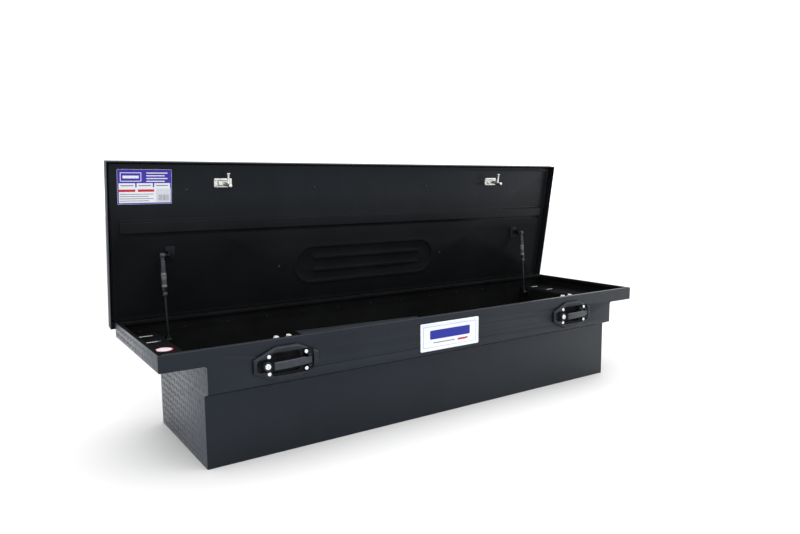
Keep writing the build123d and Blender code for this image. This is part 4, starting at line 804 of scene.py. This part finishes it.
def latch_springs():
    """Wound where the CAD piece has its ring: its legs make the rest of its length."""
    bm = bmesh.new()
    for centre, low, high in islands("latch_springs"):
        legs_right = high.x - centre.x > centre.x - low.x
        ring_x = low.x + LATCH_SPRING_HUB if legs_right else high.x - LATCH_SPRING_HUB
        hub = Vector((ring_x, centre.y, low.z + LATCH_SPRING_HUB))
        coil_spring(bm, hub, (0, 1, 0), *LATCH_SPRING)
    piece = place(bm, "latch_springs_wound", MATERIALS["zinc_steel"], "box", "zinc_steel", SHARP_FINE)
    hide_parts("latch_springs")


def striker_screw_heads():
    bm = bmesh.new()
    out = (LID.to_3x3() @ Vector((0, 0, -1))).normalized()
    for centre, _, _ in islands("striker_screws"):
        socket_head(bm, centre - out * STRIKER_SCREW_SINK, out, *STRIKER_SCREW, count=24)
    piece = place(bm, "striker_screws_domed", MATERIALS["zinc_steel"], "lid", "zinc_steel", SHARP_TURNED)
    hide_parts("striker_screws")


def pan_studs():
    bm = bmesh.new()
    for x, depth in PAN_STUDS:
        matrix = on_pan(x * MM, depth * MM)
        dome(bm, matrix.translation, matrix.to_3x3() @ Vector((0, 0, 1)), *STUD_HEAD)
    place(bm, "pan_studs", MATERIALS["hinge_metal"], "lid", "hinge_metal", SHARP_TURNED)


handle_screws()
hinge_rivets("hinge_body_rivets", "box", Vector((0, 1, 0)), "hinge_metal")
hinge_rivets("hinge_lid_rivets", "lid", (LID.to_3x3() @ Vector((0, 1, 0))).normalized(), "hinge_metal")
handle_springs()
latch_springs()
striker_screw_heads()
pan_studs()


# ---------------------------------------------------------------- gas springs
# distances along a gas spring from its upper pivot: its lower pivot, the tube's two ends and its label band
PIVOT_SPAN = 254 * MM
TUBE_START, TUBE_END = 13 * MM, 122 * MM
BAND_START, BAND_END = 50 * MM, 96 * MM
TUBE_HOLE = 3.1 * MM
# the tube's outline in millimetres: how far in from its end, how far inside its radius
ROLLED_TOP = ((0.0, 2.2), (0.6, 1.0), (1.8, 0.15), (3, 0.0))
CRIMP = ((14, 0.0), (13, 0.7), (12.2, 1.0), (11.4, 0.7), (10.4, 0.0))
ROLLED_FOOT = ((2.6, 0.0), (1.2, 0.5), (0.3, 1.6), (0.0, 2.8))
# the printed rings on the label band, in millimetres
BAND_PRINT = ((53, 58), (61, 63), (65, 67), (69, 71), (88, 93))


def gas_spring(side):
    """The tube with rolled ends, a crimp near the rod end and its label band."""
    body = f"{side}_strut_cylinder"
    slide = Vector(JOINTS[f"{side}_strut_stroke"]["axis"]).normalized()
    top_pivot = Vector(JOINTS[f"{side}_strut_turn"]["pos_m"]) - slide * PIVOT_SPAN
    cad_low, cad_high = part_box(body)
    radius = (cad_high.x - cad_low.x) / 2

    profile = [(TUBE_START, TUBE_HOLE)]
    profile += [(TUBE_START + along * MM, radius - inside * MM) for along, inside in ROLLED_TOP]
    profile += [(TUBE_END - along * MM, radius - inside * MM) for along, inside in CRIMP + ROLLED_FOOT]
    profile += [(TUBE_END, TUBE_HOLE + 0.4 * MM), (TUBE_END - 2 * MM, TUBE_HOLE)]
    bm = bmesh.new()
    lathe(bm, profile, top_pivot, slide, ROUND_COUNT)
    piece = place(bm, f"{side}_strut_tube", MATERIALS["strut_paint"], body, "strut_paint", SHARP_TURNED)
    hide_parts(body)

    bm = bmesh.new()
    sleeve(bm, BAND_START, BAND_END, radius - 0.05 * MM, radius + 0.12 * MM, top_pivot, slide)
    place(bm, f"{side}_strut_band", INKS["dark_grey"], body, "label_film", SHARP_TURNED)
    bm = bmesh.new()
    for low, high in BAND_PRINT:
        sleeve(bm, low * MM, high * MM, radius + 0.1 * MM, radius + 0.2 * MM, top_pivot, slide)
    place(bm, f"{side}_strut_band_print", INKS["dim_print"], body, "label_film", SHARP_TURNED)


for side in SIDES:
    gas_spring(side)


# ---------------------------------------------------------------- printed pieces
def printed_block(name, matrix, size, ink, body, thickness, radius):
    bm = bmesh.new()
    rounded_block(bm, matrix, size, thickness, radius)
    place(bm, name, INKS[ink], body, "label_film", SHARP_TURNED)


NAMEPLATE_THICKNESS = 2 * MM
NAMEPLATE_BORDER = 22 * MM
NAMEPLATE_LINE = 1.4 * MM
# piece, its middle from the plate's middle, its size, its ink and its corners' radius, in millimetres
NAMEPLATE_BLOCKS = (
    ("nameplate_band", 0, 6, (156, 28), "blue", 3),
    ("nameplate_accent", 46, -19, (34, 6), "red", 2),
    ("nameplate_accent_end", 66, -18, (7, 5), "dark_grey", 2),
    ("nameplate_rule", -24, -19, (84, 3), "grey", 1),
)


def nameplate():
    """A plain framed plate: raised border, an inner printed frame and generic bars."""
    softened("nameplate", 0.5 * MM)
    low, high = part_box("nameplate")
    centre = (low + high) / 2
    matrix = facing_front(centre.x, centre.z, NAMEPLATE_THICKNESS)
    width, height = high.x - low.x - NAMEPLATE_BORDER, high.z - low.z - NAMEPLATE_BORDER

    bm = bmesh.new()
    for dx, dy, size in (
        (0, height / 2, (width, NAMEPLATE_LINE)),
        (0, -height / 2, (width, NAMEPLATE_LINE)),
        (width / 2, 0, (NAMEPLATE_LINE, height + NAMEPLATE_LINE)),
        (-width / 2, 0, (NAMEPLATE_LINE, height + NAMEPLATE_LINE)),
    ):
        rounded_block(bm, matrix @ Matrix.Translation((dx, dy, 0)), size, 0.25 * MM, 0.3 * MM)
    place(bm, "nameplate_frame", INKS["pale_blue"], "box", "nameplate_metal", SHARP_TURNED)
    for name, dx, dy, size, ink, corner in NAMEPLATE_BLOCKS:
        spot = matrix @ Matrix.Translation((dx * MM, dy * MM, 0))
        printed_block(name, spot, (size[0] * MM, size[1] * MM), ink, "box", 0.3 * MM, corner * MM)


# the label's middle along the box and in depth in front of the hinge, and its width and height
LABEL_X, LABEL_DEPTH = -779 * MM, 417.0 * MM
LABEL_SIZE = (152 * MM, 101 * MM)


def label_block(name, left, top, size, ink, rise=0.3):
    """A rectangle of the label, in millimetres from its upper left corner; rise puts it over the others."""
    x = LABEL_X - LABEL_SIZE[0] / 2 + left * MM + size[0] * MM / 2
    depth = LABEL_DEPTH + LABEL_SIZE[1] / 2 - top * MM - size[1] * MM / 2
    matrix = on_pan(x, depth, rise * MM)
    printed_block(name, matrix, (size[0] * MM, size[1] * MM), ink, "lid", 0.1 * MM, 0.5 * MM)


def product_label():
    """A printed label with blocks and rules in place of any wording."""
    label_block("label_ground", 0.6, 0.6, (150.8, 99.8), "violet", 0.25)
    label_block("label_lower", 4, 52, (144, 45), "white")
    label_block("label_side_box", 107, 56, (42, 40), "pale_print", 0.35)
    label_block("label_panel", 8, 9, (58, 26), "white", 0.4)
    label_block("label_panel_fill", 10, 11, (54, 22), "violet", 0.5)
    label_block("label_panel_mark", 15, 18, (44, 8), "white", 0.6)
    for i in range(4):
        label_block(f"label_rule_{i}", 80, 9 + 8 * i, (60 - 8 * (i % 2), 3), "white", 0.4)
    for i in range(3):
        label_block(f"label_box_{i}", 4 + 49 * i, 40, (45, 14), "white", 0.4)
        label_block(f"label_box_rule_{i}", 9 + 49 * i, 45.5, (35, 3), "grey", 0.5)
    label_block("label_stripe", 3, 58, (46, 7), "red", 0.4)
    label_block("label_stripe_end", 56, 58, (46, 7), "red", 0.4)
    for i in range(4):
        label_block(f"label_line_{i}", 6, 71 + 6.5 * i, (94 - 14 * (i % 2), 2), "grey", 0.4)
    for i in range(9):
        label_block(f"label_bar_{i}", 113 + 3.4 * i, 74, (0.9 + 0.6 * (i % 3), 17), "grey", 0.45)


STICKER_PLACE = Vector((-802 * MM, -4 * MM, WING_Z + SHEET))
# each disc of the sticker: piece, ink, radius, and the heights of its underside and top
STICKER_DISCS = (
    ("wing_sticker_rim", "sticker_red", 25 * MM, 0, 0.12 * MM),
    ("wing_sticker_face", "white", 21 * MM, 0.1 * MM, 0.2 * MM),
)


def wing_sticker():
    """A round two-colour sticker on the left wing floor."""
    for name, ink, radius, low, high in STICKER_DISCS:
        bm = bmesh.new()
        lathe(bm, [(low, radius), (high, radius)], STICKER_PLACE, (0, 0, 1), count=64)
        place(bm, name, INKS[ink], "box", "label_film", SHARP_TURNED)


nameplate()
product_label()
wing_sticker()


# ---------------------------------------------------------------- floor, light and camera
FLOOR_SIZE = 30.0
FLOOR_GAP = 0.2 * MM
WORLD_STRENGTH = 1.65
OVERHEAD_PLACE = Vector((0.8, -0.9, 3.0))
OVERHEAD_AIM = Vector((0.8, -0.9, 0.0))
OVERHEAD_SIZE = (6.5, 4.0)
OVERHEAD_POWER = 90
CAMERA_PLACE = Vector((-1.2614, -1.8183, 0.7209))
CAMERA_TURN = radians(-34.194)
CAMERA_DOWN = radians(7.150)
CAMERA_ROLL = radians(-0.374)
CAMERA_LENS = 29.953
SENSOR = 36.0
CAMERA_REACH = 100


def studio_floor():
    """A plain pale floor just under the box."""
    bm = bmesh.new()
    bmesh.ops.create_grid(bm, x_segments=1, y_segments=1, size=FLOOR_SIZE / 2)
    mesh = bpy.data.meshes.new("studio_floor")
    bm.to_mesh(mesh)
    bm.free()
    n = Nodes("studio_floor")
    n.colour(n.ramp(n.noise(0.8, 3.0), [(0.3, (0.60, 0.60, 0.60)), (0.7, (0.62, 0.62, 0.62))]))
    n.rough(n.remap(n.noise(3.0), 0.75, 0.85))
    mesh.materials.append(n.material)
    floor = bpy.data.objects.new("studio_floor", mesh)
    floor.location = (0, 0, BODY_LOW.z - FLOOR_GAP)
    bpy.context.scene.collection.objects.link(floor)


def studio_light():
    """Even white surroundings, and one wide soft light overhead."""
    world = bpy.data.worlds.new("studio")
    bpy.context.scene.world = world
    world.use_nodes = True
    background = world.node_tree.nodes["Background"]
    background.inputs["Color"].default_value = (1.0, 1.0, 1.0, 1.0)
    background.inputs["Strength"].default_value = WORLD_STRENGTH

    light = bpy.data.lights.new("overhead_soft", "AREA")
    light.shape = "RECTANGLE"
    light.size, light.size_y = OVERHEAD_SIZE
    light.energy = OVERHEAD_POWER
    lamp = bpy.data.objects.new("overhead_soft", light)
    lamp.location = OVERHEAD_PLACE
    lamp.rotation_euler = (OVERHEAD_AIM - OVERHEAD_PLACE).to_track_quat("-Z", "Y").to_euler()
    bpy.context.scene.collection.objects.link(lamp)


def studio_camera():
    """From the front left, a little above, looking slightly down."""
    right = Vector((cos(CAMERA_TURN), sin(CAMERA_TURN), 0))
    level = cos(CAMERA_DOWN)
    back = Vector((sin(CAMERA_TURN) * level, -cos(CAMERA_TURN) * level, sin(CAMERA_DOWN)))
    up = back.cross(right)
    rolled_right = right * cos(CAMERA_ROLL) + up * sin(CAMERA_ROLL)
    rolled_up = up * cos(CAMERA_ROLL) - right * sin(CAMERA_ROLL)
    camera = bpy.data.cameras.new("studio_camera")
    camera.lens = CAMERA_LENS
    camera.sensor_width = SENSOR
    camera.clip_end = CAMERA_REACH
    holder = bpy.data.objects.new("studio_camera", camera)
    turn = Matrix((rolled_right, rolled_up, back)).transposed().to_4x4()
    holder.matrix_world = Matrix.Translation(CAMERA_PLACE) @ turn
    bpy.context.scene.collection.objects.link(holder)
    bpy.context.scene.camera = holder


studio_floor()
studio_light()
studio_camera()
bpy.context.scene.view_settings.view_transform = "Standard"
